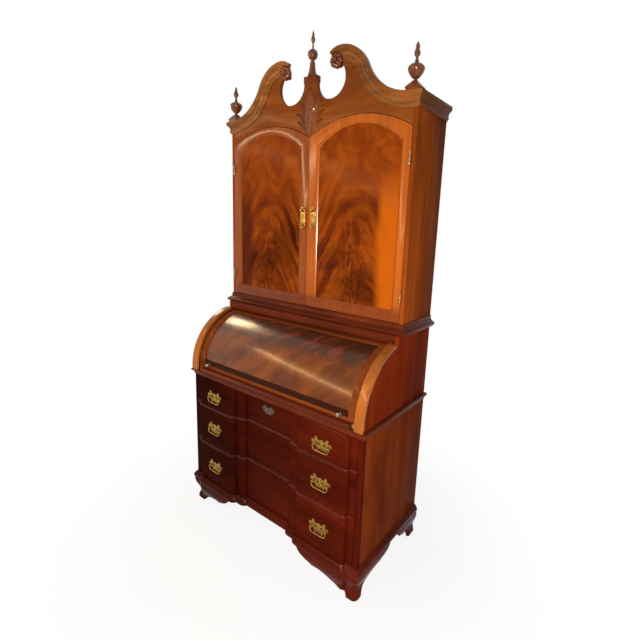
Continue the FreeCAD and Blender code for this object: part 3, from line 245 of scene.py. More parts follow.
def mahogany(name, along, dark, middle, light, coat, specular, painted_falloff=None):
    """Polished wood with cloudy patches. Some get painted shade: darker toward one end, where less light
    falls.
    """
    shader = Shader(name)
    place = shader.place()
    colour, pores = wood_colour(shader, place, along, dark, middle, light)
    clouds = shader.noise(shader.drawn_out(place, along, CLOUD_SHARE), 7.0, detail=3.0)
    colour = shader.shade(1.0, colour, clouds, ((0.34, 0.68), (0.5, 0.98), (0.68, 1.16)))
    # Painted shade: the colour darkens toward one end of an axis, where less light falls.
    if painted_falloff:
        axis, start, end, share = painted_falloff
        falloff_share = shader.between(shader.split(place)[axis], start, end)
        colour = shader.shade(1.0, colour, falloff_share, ((0.0, share), (1.0, 1.0)))
    return polish(shader, colour, pores, place, coat, specular)


def plain_wood(name, along):
    """Unpolished inside wood with pale streaks."""
    shader = Shader(name)
    colour, pores = wood_colour(shader, shader.place(), along, *PLAIN_WOOD)
    shader.bump(pores, 0.15, 0.0008)
    return shader.finish(colour, shader.ramp(pores, ((0.3, 0.75), (0.6, 0.58))), specular=0.3)


def door_frame(name, foot, dark, middle, light, coat, specular):
    """A door's stiles and arch, with a redder rail at the foot."""
    shader = Shader(name)
    place = shader.place()
    colour, pores = wood_colour(shader, place, "z", dark, middle, light)
    rail, _ = wood_colour(shader, place, "x", *RED_WOOD)
    low = shader.below(shader.split(place)[2], *(foot + level for level in DOOR_RAIL_FADE))
    colour = shader.mix(shader.times(low, 0.6), colour, rail)
    return polish(shader, colour, pores, place, coat, specular)


# Figured veneers

FLAME_DARK = (0.075, 0.012, 0.003)
FLAME_MIDDLE = (0.165, 0.027, 0.003)
FLAME_LIGHT = (0.28, 0.057, 0.004)
# Painted light along the right door's outer edge
FLAME_PAINTED_LIGHT = (0.47, 0.1, 0.004)

LID_SHADOW = (0.055, 0.012, 0.003)
LID_MIDDLE = (0.1, 0.022, 0.003)
LID_LIGHT = (0.18, 0.042, 0.005)
LID_DARK = (0.035, 0.012, 0.006)
LID_RED = (0.125, 0.02, 0.009)
# Painted shadow line on the lid frame's bottom rail, and the angles round the lid where it starts and stops
LID_SHADOW_LINE = (0.03, 0.008, 0.004)
LID_SHADOW_LINE_FOOT = (math.radians(4.2), math.radians(4.8))
LID_SHADOW_LINE_HEAD = (math.radians(9.4), math.radians(9.8))


def veneer_pores(shader, colour, place, along):
    pores = shader.noise(shader.drawn_out(place, along, PORE_SHARE), 560.0, detail=2.0)
    return shader.shade(0.15, colour, pores, PORE_STOPS), pores


def door_flame(name, middle, foot, height, outward, strip):
    """Crotch veneer on a door: nested arches swept down from a centre line, a mottled head, a lacy plume that
    rises along the line from the foot, and a strip by the outer edge: painted light on the right door,
    painted shade on the left."""
    shader = Shader(name)
    place = shader.place()
    x, _, z = shader.split(place)
    side = shader.less(x, middle)
    up = shader.math("DIVIDE", shader.less(z, foot), height)
    lean = shader.swing(shader.noise(place, 4.0, detail=2.0), 0.1)
    line = shader.plus(side, lean)
    arch = shader.plus(z, shader.times(shader.times(line, line), 6.5))
    arch = shader.plus(arch, shader.swing(shader.noise(place, 9.0, detail=3.0), 0.07))

    sweeps = shader.noise(shader.join(arch, shader.times(line, 0.3)), 12.0, detail=4.0, roughness=0.52)
    colour = shader.ramp(sweeps, ((0.33, FLAME_DARK), (0.45, FLAME_MIDDLE), (0.57, FLAME_LIGHT),
                                  (0.68, FLAME_MIDDLE)))

    mottle = shader.noise(place, 9.0, detail=3.0, roughness=0.5, distortion=1.4)
    head = shader.times(shader.between(up, 0.45, 0.8), 0.75)
    colour = shader.mix(head, colour, shader.ramp(mottle, ((0.36, FLAME_MIDDLE), (0.62, FLAME_LIGHT))))

    lace_place = shader.join(shader.times(line, 2.0), shader.times(arch, 0.6))
    lace = shader.noise(lace_place, 24.0, detail=4.0, roughness=0.58, distortion=1.5)
    feather = shader.ramp(lace, ((0.38, FLAME_DARK), (0.5, FLAME_MIDDLE), (0.62, FLAME_LIGHT)))
    plume = shader.times(shader.below(shader.size(line), 0.03, 0.12), shader.below(up, 0.25, 0.62))
    colour = shader.mix(shader.times(plume, 0.75), colour, feather)

    cloud = shader.noise(place, 6.0, detail=3.0, distortion=0.6)
    lower = shader.times(shader.below(up, 0.35, 0.72), 0.8)
    colour = shader.shade(lower, colour, cloud, ((0.36, 0.34), (0.56, 1.0)))

    # Painted light on the right door and painted shade on the left: a strip of the given colour by the outer
    # edge
    outer = shader.times(shader.plus(side, shader.times(lean, 0.6)), outward)
    painted_edge = shader.times(shader.between(outer, 0.1, 0.145), shader.less(0.85, shader.between(up, 0.5, 0.85)))
    colour, pores = veneer_pores(shader, shader.mix(painted_edge, colour, strip), place, "z")
    return polish(shader, colour, pores, place, 0.02, 0.015)


def lid_angle(shader, pivot, y, z):
    """How far a point lies round the lid, up from the level of its pivot in front."""
    return shader.math("ARCTAN2", shader.less(z, pivot.z), shader.less(pivot.y, y))


def lid_flame(name, pivot, radius):
    """Crotch veneer round the lid: orange brown with a few slanting darker sweeps below, and above a dark
    ragged band with dull red flames that lean to the left."""
    shader = Shader(name)
    place = shader.place()
    x, y, z = shader.split(place)
    round_lid = shader.times(lid_angle(shader, pivot, y, z), radius)
    slant = shader.less(x, shader.times(round_lid, 0.8))
    wander = shader.swing(shader.noise(place, 6.0, detail=2.0), 0.12)
    streak_place = shader.join(shader.plus(slant, wander), shader.times(round_lid, 0.5))
    streaks = shader.noise(streak_place, 9.0, detail=3.0, roughness=0.5)
    colour = shader.ramp(streaks, ((0.34, LID_SHADOW), (0.48, LID_MIDDLE), (0.64, LID_LIGHT)))

    rise = shader.plus(x, shader.times(round_lid, 0.75))
    ragged = shader.swing(shader.noise(shader.join(rise, round_lid), 26.0, detail=6.0, roughness=0.7), 0.09)
    upper = shader.between(shader.plus(round_lid, ragged), 0.2, 0.245)
    tongue_place = shader.join(slant, shader.times(round_lid, 0.6))
    tongue = shader.noise(tongue_place, 20.0, detail=2.0, distortion=0.9)
    flames = shader.ramp(tongue, ((0.5, LID_DARK), (0.62, LID_RED)))
    colour = shader.mix(shader.times(upper, 0.92), colour, flames)
    colour, pores = veneer_pores(shader, colour, place, "x")
    return polish(shader, colour, pores, place, 0.19, 0.42)


def lid_rail(name, pivot, half):
    """The lid's frame: brown, with a painted shadow line, a dark band along the upper part of its bottom
    rail.
    """
    shader = Shader(name)
    place = shader.place()
    x, y, z = shader.split(place)
    dark, middle, light, coat, specular = SHADES["brown"]
    colour, pores = wood_colour(shader, place, "x", dark, middle, light)
    turn = lid_angle(shader, pivot, y, z)
    # Painted shadow: a dark band across the rail between two angles round the lid
    band = shader.less(shader.between(turn, *LID_SHADOW_LINE_FOOT), shader.between(turn, *LID_SHADOW_LINE_HEAD))
    inside = shader.math("LESS_THAN", shader.size(x), half)
    colour = shader.mix(shader.times(band, inside), colour, LID_SHADOW_LINE)
    return polish(shader, colour, pores, place, coat / 2, specular / 4)


# Leather and metal

LEATHER_DARK, LEATHER_LIGHT, GILT = (0.006, 0.016, 0.008), (0.02, 0.045, 0.022), (0.5, 0.33, 0.09)
LEATHER_INSET, GILT_INSET, GILT_HALF_WIDTH, LEATHER_DEPTH = 0.045, 0.056, 0.0018, 0.0005

METALS = {
    "brass": ((0.09, 0.042, 0.008), (0.3, 0.17, 0.036), (0.55, 0.34, 0.085)),
    "silver": ((0.09, 0.055, 0.04), (0.24, 0.16, 0.13), (0.42, 0.32, 0.27)),
    "dull": ((0.06, 0.035, 0.012), (0.18, 0.12, 0.05), (0.34, 0.25, 0.12)),
    "grey": ((0.03, 0.02, 0.014), (0.1, 0.074, 0.052), (0.2, 0.155, 0.11)),
}
PATINA_STOPS = (0.3, 0.48, 0.7)
MIDDLE_PLATE_REACH = 0.1


def writing_board(name, low, high):
    """The sliding board: mahogany edges round a green leather field with a gilt line."""
    shader = Shader(name)
    place = shader.place()
    x, y, z = shader.split(place)
    wood, pores = wood_colour(shader, place, "x", *RED_WOOD)
    hide = shader.noise(place, 260.0, detail=5.0, roughness=0.6)
    leather = shader.ramp(hide, ((0.3, LEATHER_DARK), (0.7, LEATHER_LIGHT)))
    from_ends = shader.less(high.x, shader.size(x))
    from_edges = shader.math("MINIMUM", shader.less(y, low.y), shader.less(high.y, y))
    on_top = shader.math("GREATER_THAN", z, high.z - LEATHER_DEPTH)
    inset = shader.times(shader.math("MINIMUM", from_ends, from_edges), on_top)
    field = shader.math("GREATER_THAN", inset, LEATHER_INSET)
    gilt = shader.math("COMPARE", inset, GILT_INSET)
    gilt.node.inputs[2].default_value = GILT_HALF_WIDTH
    colour = shader.mix(gilt, shader.mix(field, wood, leather), GILT)
    shader.bump(hide, 0.08, 0.0006)
    return shader.finish(colour, shader.ramp(pores, ((0.3, 0.5), (0.6, 0.38))), coat=0.03, specular=0.1)


def old_metal(name, metal, inner=None):
    """Old cast metal: bright where hands rub, dark in the pits. A middle plate may be of another metal."""
    shader = Shader(name)
    place = shader.place()
    patina = shader.noise(place, 160.0, detail=6.0, roughness=0.65)
    colour = shader.ramp(patina, tuple(zip(PATINA_STOPS, METALS[metal])))
    if inner:
        other = shader.ramp(patina, tuple(zip(PATINA_STOPS, METALS[inner])))
        aside = shader.math("GREATER_THAN", shader.size(shader.split(place)[0]), MIDDLE_PLATE_REACH)
        colour = shader.mix(aside, other, colour)
    rough = shader.ramp(shader.noise(place, 420.0, detail=4.0), ((0.3, 0.22), (0.7, 0.48)))
    shader.bump(shader.noise(place, 900.0, detail=3.0), 0.12, 0.0004)
    return shader.finish(colour, rough, metal=1.0)


# What each node wears: a shade with the axis of its grain, or a metal

NODE_FINISHES = {
    "base_sides": "flank_z", "front_stiles": "deep_z", "drawer_blades": "nose_x", "base_bottom": "plain_x",
    "runners": "plain_y", "back_boards": "plain_z", "base_moulding": "foot_x", "front_feet": "foot_x",
    "rear_feet": "foot_x", "desk_board": "red_x", "waist_moulding": "red_x", "cylinder_sides": "side_z",
    "arc_beads": "bead_z", "desk_top": "red_x", "mid_moulding": "red_x", "gallery": "brown_x",
    "bookcase_sides": "wall_z", "bookcase_boards": "red_x", "shelves": "plain_x", "tympanum": "crest_x",
    "scroll_mouldings": "scroll_x", "side_cornices": "cornice_y", "rosettes": "carved_x",
    "carved_spray": "spray_z", "finial_blocks": "brown_x", "corner_finials": "carved_z",
    "centre_plinth": "brown_x", "centre_finial": "carved_z", "lid_quadrants": "brown_z",
    "lid_knobs": "silver", "top_drawer_plates": "lock", "hinge_case_leaves": "dull",
    "door_left_hinges": "dull", "door_right_hinges": "dull",
}
for level in ("bottom", "middle", "top"):
    NODE_FINISHES[f"{level}_drawer_front"] = "deep_x"
    NODE_FINISHES[f"{level}_drawer_box"] = "plain_y"


def finishes():
    """Every finish that the nodes name, keyed by shade and grain."""
    made = {metal: old_metal(f"{metal}_metal", metal) for metal in ("brass", "silver", "dull")}
    made["lock"] = old_metal("lock_metal", "brass", "grey")
    for key in sorted(set(NODE_FINISHES.values()) - set(made)):
        shade, along = key.split("_")
        if shade == "plain":
            made[key] = plain_wood(key, along)
        else:
            made[key] = mahogany(f"{key}_mahogany", along, *SHADES[shade])
    return made


def flame_finishes():
    """The figured veneers, door frames and leather, each laid out on its own board."""
    pivot = Vector(next(joint["pos_m"] for joint in frame["joints"] if joint["name"] == "lid_turn"))
    radius = pivot.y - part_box("lid_frame")[0].y
    made = {"lid_panel": lid_flame("flame_lid", pivot, radius),
            "lid_frame": lid_rail("lid_frame_mahogany", pivot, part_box("lid_panel")[1].x),
            "writing_slide": writing_board("leather_board", *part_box("writing_slide"))}
    # Painted shade by the left door's outer edge and painted light by the right door's
    for node, outward, strip in (("door_left_panel", -1.0, FLAME_DARK),
                                 ("door_right_panel", 1.0, FLAME_PAINTED_LIGHT)):
        low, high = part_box(node)
        made[node] = door_flame(f"flame_{node}", (low.x + high.x) / 2, low.z, high.z - low.z, outward, strip)
    # Painted shade on the left door's frame, painted light on the right door's
    for node, shade in (("door_left_frame", "amber"), ("door_right_frame", "orange")):
        made[node] = door_frame(f"wood_{node}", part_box(node)[0].z, *SHADES[shade])
    return made


FINISHES = finishes()
FLAMES = flame_finishes()


def finish_of(name):
    """What has no finish listed is brass."""
    return FLAMES.get(name) or FINISHES[NODE_FINISHES.get(name, "brass")]


# Eased edges

def smooth_group():
    """Shades faces smooth, apart from edges that turn sharply."""
    group = bpy.data.node_groups.new("smooth_by_angle", "GeometryNodeTree")
    group.interface.new_socket("Geometry", in_out="INPUT", socket_type="NodeSocketGeometry")
    group.interface.new_socket("Geometry", in_out="OUTPUT", socket_type="NodeSocketGeometry")
    tree = group.nodes
    start, end = tree.new("NodeGroupInput"), tree.new("NodeGroupOutput")
    faces, edges = tree.new("GeometryNodeSetShadeSmooth"), tree.new("GeometryNodeSetShadeSmooth")
    edges.domain = "EDGE"
    edges.inputs["Shade Smooth"].default_value = False
    angle, sharp = tree.new("GeometryNodeInputMeshEdgeAngle"), tree.new("FunctionNodeCompare")
    sharp.operation = "GREATER_THAN"
    sharp.inputs[1].default_value = SHARP_ANGLE
    for output, socket in ((start.outputs[0], faces.inputs["Geometry"]),
                           (faces.outputs[0], edges.inputs["Geometry"]),
                           (angle.outputs["Unsigned Angle"], sharp.inputs[0]),
                           (sharp.outputs[0], edges.inputs["Selection"]),
                           (edges.outputs[0], end.inputs[0])):
        group.links.new(output, socket)
    return group


SMOOTH = smooth_group()
# In millimetres, by a part of the node's name; the first that fits counts
EDGE_ROUNDS = {
    "drawer_front": 4.5, "blades": 2.0, "moulding": 1.6, "plates": 0.35, "pull": 0.35, "hinges": 0.3,
    "leaves": 0.3, "lid_pivots": 0.3, "bail": 0.2, "finial": 0.3, "rosettes": 0.4, "door_left_frame": 3.6,
    "door_right_frame": 3.6, "sides": 2.4, "arc_beads": 3.0, "front_feet": 1.6, "rear_feet": 1.6,
}
USUAL_ROUND = 1.0
WELD_REACH = 0.01
ROUND_STEPS = 3


def round_edges(thing, name):
    """Joins the facets, eases the hard edges and shades the curves smooth."""
    weld = thing.modifiers.new("weld", "WELD")
    weld.merge_threshold = WELD_REACH * MM
    bevel = thing.modifiers.new("eased_edges", "BEVEL")
    bevel.width = next((width for part, width in EDGE_ROUNDS.items() if part in name), USUAL_ROUND) * MM
    bevel.segments = ROUND_STEPS
    bevel.limit_method = "ANGLE"
    bevel.angle_limit = SHARP_ANGLE
    smooth = thing.modifiers.new("smooth", "NODES")
    smooth.node_group = SMOOTH


def dress_nodes():
    for name, thing in nodes.items():
        thing.data.materials.clear()
        thing.data.materials.append(finish_of(name))
        round_edges(thing, name)


dress_nodes()


# Carved and turned pieces

def grid(rows, closed=False):
    """Points and quads between rows of points; closed rows join their last point to their first."""
    width = len(rows[0])
    faces = []
    for row in range(len(rows) - 1):
        for column in range(width if closed else width - 1):
            first, second = row * width + column, row * width + (column + 1) % width
            faces.append((first, second, second + width, first + width))
    return [point for row in rows for point in row], faces


def joined(parts):
    """Several shapes as one."""
    points, faces = [], []
    for more, quads in parts:
        shift = len(points)
        points += more
        faces += [tuple(corner + shift for corner in quad) for quad in quads]
    return points, faces


def piece(name, shape, finish, node):
    """A mesh on the case that stands for a CAD node."""
    points, faces = shape
    mesh = bpy.data.meshes.new(name)
    mesh.from_pydata(points, [], faces)
    mesh.materials.append(finish)
    form = bmesh.new()
    form.from_mesh(mesh)
    bmesh.ops.recalc_face_normals(form, faces=form.faces)
    form.to_mesh(mesh)
    form.free()
    thing = bpy.data.objects.new(name, mesh)
    bpy.context.scene.collection.objects.link(thing)
    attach(thing, "case")
    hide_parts(node)
    thing.modifiers.new("smooth", "NODES").node_group = SMOOTH


# The spray's leaves: angle from upright, length and width as shares of the spray's height, bend, and relief
# as a share of its depth
LEAVES = ((0.0, 0.99, 0.32, 0.0, 1.0), (13.0, 0.8, 0.17, 34.0, 0.85), (25.0, 0.66, 0.16, 52.0, 0.8),
          (38.0, 0.48, 0.15, 48.0, 0.8), (8.0, 0.5, 0.2, 40.0, 1.0), (28.0, 0.34, 0.16, 46.0, 0.9))
LEAF_STEPS, LEAF_SPANS = 36, 14
LEAF_NOTCHES, LEAF_VEINS = 5.0, 7.0
LEAF_SINK, SPRAY_ROOT_RISE = 0.3 * MM, 4 * MM


def leaf(board, root, angle, length, width, bend, relief):
    """A carved leaf on a board: a hollow vein between two swelling sides, notched edges and a tip that turns
    away."""
    rows = []
    x, z = root.x, root.z
    for step in range(LEAF_STEPS + 1):
        along = step / LEAF_STEPS
        turn = math.radians(angle + bend * along * along)
        notch = 1.0 - 0.2 * abs(math.sin(along * math.pi * LEAF_NOTCHES)) ** 3 * (1.0 - along)
        half = 0.0
        if step < LEAF_STEPS:
            half = width / 2 * math.sin(math.pi * (0.1 + 0.9 * along) ** 0.9) ** 0.75 * notch
        row = []
        for span in range(LEAF_SPANS + 1):
            share = span / LEAF_SPANS * 2.0 - 1.0
            swell = math.sqrt(max(0.0, 1.0 - share * share)) * (0.3 + 0.7 * min(1.0, abs(share) / 0.4))
            vein = 1.0 + 0.14 * math.cos(math.pi * 2.0 * (along * LEAF_VEINS - abs(share) * 1.1))
            height = relief * swell * vein * (0.55 + 0.45 * math.sin(math.pi * along))
            aside = half * share
            row.append((x + math.cos(turn) * aside, board + LEAF_SINK - height, z - math.sin(turn) * aside))
        rows.append(row)
        x += math.sin(turn) * length / LEAF_STEPS
        z += math.cos(turn) * length / LEAF_STEPS
    return grid(rows)


def spray():
    """Low-relief leaves that fan out over the valley between the two arches."""
    low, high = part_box("carved_spray")
    height, board = high.z - low.z, high.y
    root = Vector((0.0, board, low.z + SPRAY_ROOT_RISE))
    parts = []
    for angle, length, width, bend, relief in LEAVES:
        for side in ((1.0,) if angle == 0.0 else (1.0, -1.0)):
            parts.append(leaf(board, root, angle * side, length * height, width * height, bend * side,
                              relief * (board - low.y)))
    piece("carved_leaves", joined(parts), FINISHES["spray_z"], "carved_spray")


ROSETTE_RINGS, ROSETTE_STEPS = 24, 96
PETALS = 8
BOSS_SHARE = 0.26


def rosette(centre, board, radius, depth):
    """Petals round a boss, on a drum that stands out from the board."""
    rows = []
    for ring in range(ROSETTE_RINGS + 2):
        share = min(1.0, ring / ROSETTE_RINGS)
        row = []
        for step in range(ROSETTE_STEPS):
            turn = 2.0 * math.pi * step / ROSETTE_STEPS
            lobe = abs(math.cos(PETALS / 2 * turn)) ** 0.6
            if share < BOSS_SHARE:
                height = 0.74 + 0.26 * math.sqrt(1.0 - (share / BOSS_SHARE) ** 2)
            else:
                outward = (share - BOSS_SHARE) / (1.0 - BOSS_SHARE)
                height = 0.5 + 0.34 * math.sin(math.pi * outward ** 0.8) * (0.25 + 0.75 * lobe)
            reach = radius * share * (1.0 - 0.1 * (1.0 - lobe) * share)
            lift = 0.0 if ring > ROSETTE_RINGS else depth * height
            row.append((centre.x + reach * math.cos(turn), board - lift, centre.z + reach * math.sin(turn)))
        rows.append(row)
    return grid(rows, closed=True)


def rosettes():
    low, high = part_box("rosettes")
    radius = (high.z - low.z) / 2
    parts = [rosette(Vector((side * (high.x - radius), 0.0, low.z + radius)), high.y, radius, high.y - low.y)
             for side in (1.0, -1.0)]
    piece("carved_rosettes", joined(parts), FINISHES["carved_x"], "rosettes")


# The finials' outlines: share of the radius, share of the height, bulge of the stretch that ends there
CORNER_PROFILE = ((0.24, 0.0, 0.0), (0.14, 0.02, -0.1), (0.7, 0.15, 0.08), (0.94, 0.27, 0.06),
                  (0.88, 0.35, 0.14), (0.4, 0.425, 0.12), (0.24, 0.48, -0.12), (0.15, 0.6, -0.04))
CENTRE_PROFILE = ((0.9, 0.0, 0.0), (0.9, 0.03, 0.0), (0.52, 0.3, -0.04), (0.36, 0.36, -0.1),
                  (1.0, 0.4775, 0.155), (0.24, 0.597, 0.18), (0.16, 0.64, -0.1), (0.15, 0.72, 0.0))
CORNER_FLAME_SHARE, CENTRE_FLAME_SHARE = 0.3, 0.34
FLAME_STEPS, TURNED_STEPS, BULGE_STEPS = 60, 48, 12
FLAME_TWIST = 1.3 * math.pi
TURNS = [2.0 * math.pi * step / TURNED_STEPS for step in range(TURNED_STEPS)]


def finial(centre, foot, radius, height, profile, flame_share):
    """A turned urn and stem with a twisted flame on top."""
    outline = [(profile[0][0] * radius, foot)]
    for (near, below, _), (far, above, bulge) in zip(profile, profile[1:]):
        start, end = Vector((near * radius, below * height)), Vector((far * radius, above * height))
        chord = end - start
        steps = BULGE_STEPS if bulge else 1
        for step in range(1, steps + 1):
            share = step / steps
            bow = 4.0 * bulge * share * (1.0 - share)
            point = start + chord * share + Vector((chord.y, -chord.x)) * bow
            outline.append((point.x, foot + point.y))
    rows = [[(centre.x + reach * math.cos(turn), centre.y + reach * math.sin(turn), level) for turn in TURNS]
            for reach, level in outline]
    stem, start = outline[-1]
    for step in range(1, FLAME_STEPS + 1):
        share = step / FLAME_STEPS
        level = start + (foot + height - start) * share
        body = stem * (1.0 - share) + radius * flame_share * math.sin(math.pi * share ** 0.8) ** 0.9
        row = []
        for turn in TURNS:
            oval = 0.6 + 0.4 * math.cos(turn - share * FLAME_TWIST) ** 2
            reach = max(0.0, body) * oval if step < FLAME_STEPS else 0.0
            row.append((centre.x + reach * math.cos(turn), centre.y + reach * math.sin(turn), level))
        rows.append(row)
    return grid(rows, closed=True)


def finials():
    low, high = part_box("corner_finials")
    radius = (high.y - low.y) / 2
    parts = [finial(Vector((side * (high.x - radius), (low.y + high.y) / 2)), low.z, radius, high.z - low.z,
                    CORNER_PROFILE, CORNER_FLAME_SHARE) for side in (1.0, -1.0)]
    piece("carved_corner_finials", joined(parts), FINISHES["carved_z"], "corner_finials")
    low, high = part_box("centre_finial")
    shape = finial((low + high) / 2, low.z, (high.x - low.x) / 2, high.z - low.z, CENTRE_PROFILE,
                   CENTRE_FLAME_SHARE)
    piece("carved_centre_finial", shape, FINISHES["carved_z"], "centre_finial")


# Shares of a finial block's height and half width
BLOCK_RINGS = ((-0.25, 0.93), (0.26, 0.93), (0.26, 1.0), (0.34, 1.0), (0.4, 0.94), (1.0, 0.23))
SQUARE = ((-1.0, -1.0), (1.0, -1.0), (1.0, 1.0), (-1.0, 1.0))


def finial_blocks():
    """Square blocks that stand on the cornice and rise to a point under the corner finials."""
    low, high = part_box("finial_blocks")
    half, middle, height = (high.y - low.y) / 2, (low.y + high.y) / 2, high.z - low.z
    blocks = []
    for side in (-1.0, 1.0):
        centre = side * (high.x - half)
        rings = []
        for level, share in BLOCK_RINGS:
            reach, z = half * share, low.z + height * level
            rings.append([(centre + reach * x, middle + reach * y, z) for x, y in SQUARE])
        points, faces = grid(rings, closed=True)
        blocks.append((points, faces + [(0, 1, 2, 3), tuple(range(len(points) - 4, len(points)))]))
    piece("carved_finial_blocks", joined(blocks), FINISHES["brown_x"], "finial_blocks")


# The front feet, in millimetres. Two tables give reach from the case and rounding of the corner at shares of
# the foot's height. The third gives the gap under the bracket, as a share of that height, at shares of the
# bracket's length.
FOOT_REACH = ((0.0, -5.0), (0.02, -1.0), (0.05, 3.0), (0.1, 6.0), (0.15, 6.0), (0.2, 4.0), (0.27, 0.5),
              (0.35, -2.0), (0.42, -2.0), (0.5, 0.5), (0.6, 5.5), (0.7, 10.5), (0.8, 13.5), (0.88, 14.0),
              (1.0, 12.4))
FOOT_CORNER = ((0.0, 20.0), (0.1, 25.0), (0.55, 25.0), (0.75, 16.0), (0.9, 5.0), (1.0, 2.0))
FOOT_GAP = ((0.0, 0.0), (0.15, 0.0), (0.157, 0.08), (0.165, 0.2), (0.2, 0.31), (0.27, 0.395), (0.39, 0.48),
            (0.5, 0.57), (0.58, 0.6), (0.64, 0.585), (0.7, 0.56), (0.72, 0.6), (0.8, 0.68), (0.9, 0.8),
            (0.95, 0.9), (0.98, 0.98), (1.0, 0.985))
FOOT_SWELL, LEG_CORNER = 14.0, 25.0
BLOCK_RISE, BLOCK_SET_IN = 20.0, 75.0
BRACKET_WIDTH, BRACKET_INSIDE, GLUE_BLOCK = 300.0, 16.0, 30.0
FOOT_STEPS = 24


def at_knots(knots, share):
    """The value at a share, on straight lines between knots."""
    for (start, first), (end, second) in zip(knots, knots[1:]):
        if share <= end:
            return first + (second - first) * (share - start) / (end - start)
    return knots[-1][1]


def spaced(start, end, count):
    return [start + (end - start) * step / count for step in range(count + 1)]


def foot_stops(edge):
    """Places along the bracket, from the block to the back end of the side."""
    stops = [("block", x) for x in spaced(edge - BRACKET_WIDTH, edge - BLOCK_SET_IN, 30)]
    for kind, shares in (("round", spaced(0.1, 1.0, 9)), ("flat", spaced(0.05, 1.0, 19)),
                         ("corner", spaced(0.1, 1.0, 9)),
                         ("side", spaced(0.01, 0.2, 19) + spaced(0.22, 1.0, 30))):
        stops += [(kind, share) for share in shares]
    return stops


def foot_plan(stop, edge, flat, back, reach, corner):
    """Where a stop lies in plan: on the block, its round, the flat, the soft corner or the side."""
    kind, share = stop
    block, radius = edge - BLOCK_SET_IN, BLOCK_RISE + reach
    spread = math.sqrt(radius * radius - reach * reach)
    if kind == "block":
        return share, flat - radius
    if kind == "round":
        turn = math.asin(spread / radius) * share
        return block + radius * math.sin(turn), flat - radius * math.cos(turn)
    start, end = block + spread, edge + reach - corner
    if kind == "flat":
        return start + (end - start) * share, flat - reach
    start = flat - reach + corner
    if kind == "corner":
        turn = math.pi / 2 * share
        return end + corner * math.sin(turn), start - corner * math.cos(turn)
    return edge + reach, start + (back - start) * share


def glue_block(x, y, top):
    """The square block behind a bracket's corner, which carries the weight."""
    plan = ((x - GLUE_BLOCK, y), (x, y), (x, y + GLUE_BLOCK), (x - GLUE_BLOCK, y + GLUE_BLOCK))
    points, faces = grid([[(*corner, z) for corner in plan] for z in (0.0, top)], closed=True)
    return points, faces + [(0, 1, 2, 3), (4, 5, 6, 7)]


def front_foot():
    """An ogee bracket on a rounded leg: it follows the block, turns a soft corner and runs along the side."""
    low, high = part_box("front_feet")
    top, back = high.z / MM, high.y / MM
    edge, flat = high.x / MM - FOOT_SWELL, low.y / MM + FOOT_SWELL + BLOCK_RISE
    inner_x, inner_y = edge - BRACKET_INSIDE, flat + BRACKET_INSIDE
    rings = []
    for stop in foot_stops(edge):
        x, y = foot_plan(stop, edge, flat, back, 0.0, LEG_CORNER)
        gap = {"side": (y - flat) / (back - flat), "corner": 0.0}.get(stop[0], (edge - x) / BRACKET_WIDTH)
        foot = top * at_knots(FOOT_GAP, gap)
        ring = []
        for z in spaced(foot, top, FOOT_STEPS):
            reach, corner = at_knots(FOOT_REACH, z / top), at_knots(FOOT_CORNER, z / top)
            ring.append((*foot_plan(stop, edge, flat, back, reach, corner), z))
        inner = (inner_x, max(y, inner_y)) if stop[0] == "side" else (min(x, inner_x), inner_y)
        rings.append(ring + [(*inner, top), (*inner, foot)])
    points, faces = grid(rings, closed=True)
    size = len(rings[0])
    faces += [tuple(range(size)), tuple(range(len(points) - size, len(points)))]
    points, faces = joined([(points, faces), glue_block(inner_x, inner_y, top)])
    return [(x * MM, y * MM, z * MM) for x, y, z in points], faces


def front_feet():
    right = front_foot()
    left = [(-x, y, z) for x, y, z in right[0]], right[1]
    piece("carved_front_feet", joined([right, left]), FINISHES["foot_x"], "front_feet")


spray()
rosettes()
finials()
finial_blocks()
front_feet()


# Stage, lights and camera

FLOOR_REACH = 14.0
FLOOR_FADE = (0.55, 1.3)
FLOOR_WHITE = 0.86
WORLD_LIGHT, WORLD_STRENGTH = (1.0, 0.96, 0.9, 1.0), 0.16

LAMP_LIGHT = (1.0, 0.94, 0.86)
# Name, place, target, size, power, colour and, where the long side isn't level, the line that it follows
LAMPS = (
    ("flash", (1.3, -1.6, 1.46), (0.1, 0.0, 1.3), (0.11, 0.11), 30.0, LAMP_LIGHT),
    ("soft_key", (0.9, -3.0, 2.6), (0.0, 0.0, 1.2), (1.6, 1.2), 14.0, LAMP_LIGHT),
    ("low_fill", (1.45, -1.35, 0.6), (0.3, -0.25, 0.45), (0.6, 0.4), 7.0, (1.0, 0.86, 0.7)),
    ("long_lamp", (-1.25, -1.915, 2.03), (0.1, -0.17, 0.92), (2.86, 0.12), 32.0, (1.0, 0.78, 0.46),
     (-1.825, 0.56, 0.73)),
    ("window", (-2.25, 0.36, 2.24), (-0.5, -0.09, 1.01), (0.46, 0.46), 13.0, (1.0, 0.8, 0.48)),
)

CAMERA_PLACE = (1.2515, -1.4525, 1.511)
CAMERA_TURN, CAMERA_DROP, CAMERA_ROLL = (math.radians(angle) for angle in (37.06, 11.12, 2.11))
SENSOR_WIDTH, LENS = 36.0, 23.22
SHIFT = (-0.0147, -0.0247)


def mixed(tree, share, first, second):
    """Two shaders mixed by a share."""
    node = tree.nodes.new("ShaderNodeMixShader")
    for output, socket in zip((share, first, second), node.inputs):
        tree.links.new(output, socket)
    return node.outputs[0]


def seen_white(tree, lit):
    """What the eye, reflections and refractions see as plain white, and everything else as lit."""
    path = tree.nodes.new("ShaderNodeLightPath")
    seen = path.outputs["Is Camera Ray"]
    for kind in ("Is Glossy Ray", "Is Transmission Ray"):
        either = tree.nodes.new("ShaderNodeMath")
        either.operation = "MAXIMUM"
        tree.links.new(seen, either.inputs[0])
        tree.links.new(path.outputs[kind], either.inputs[1])
        seen = either.outputs[0]
    white = tree.nodes.new("ShaderNodeEmission")
    return mixed(tree, seen, lit, white.outputs[0])


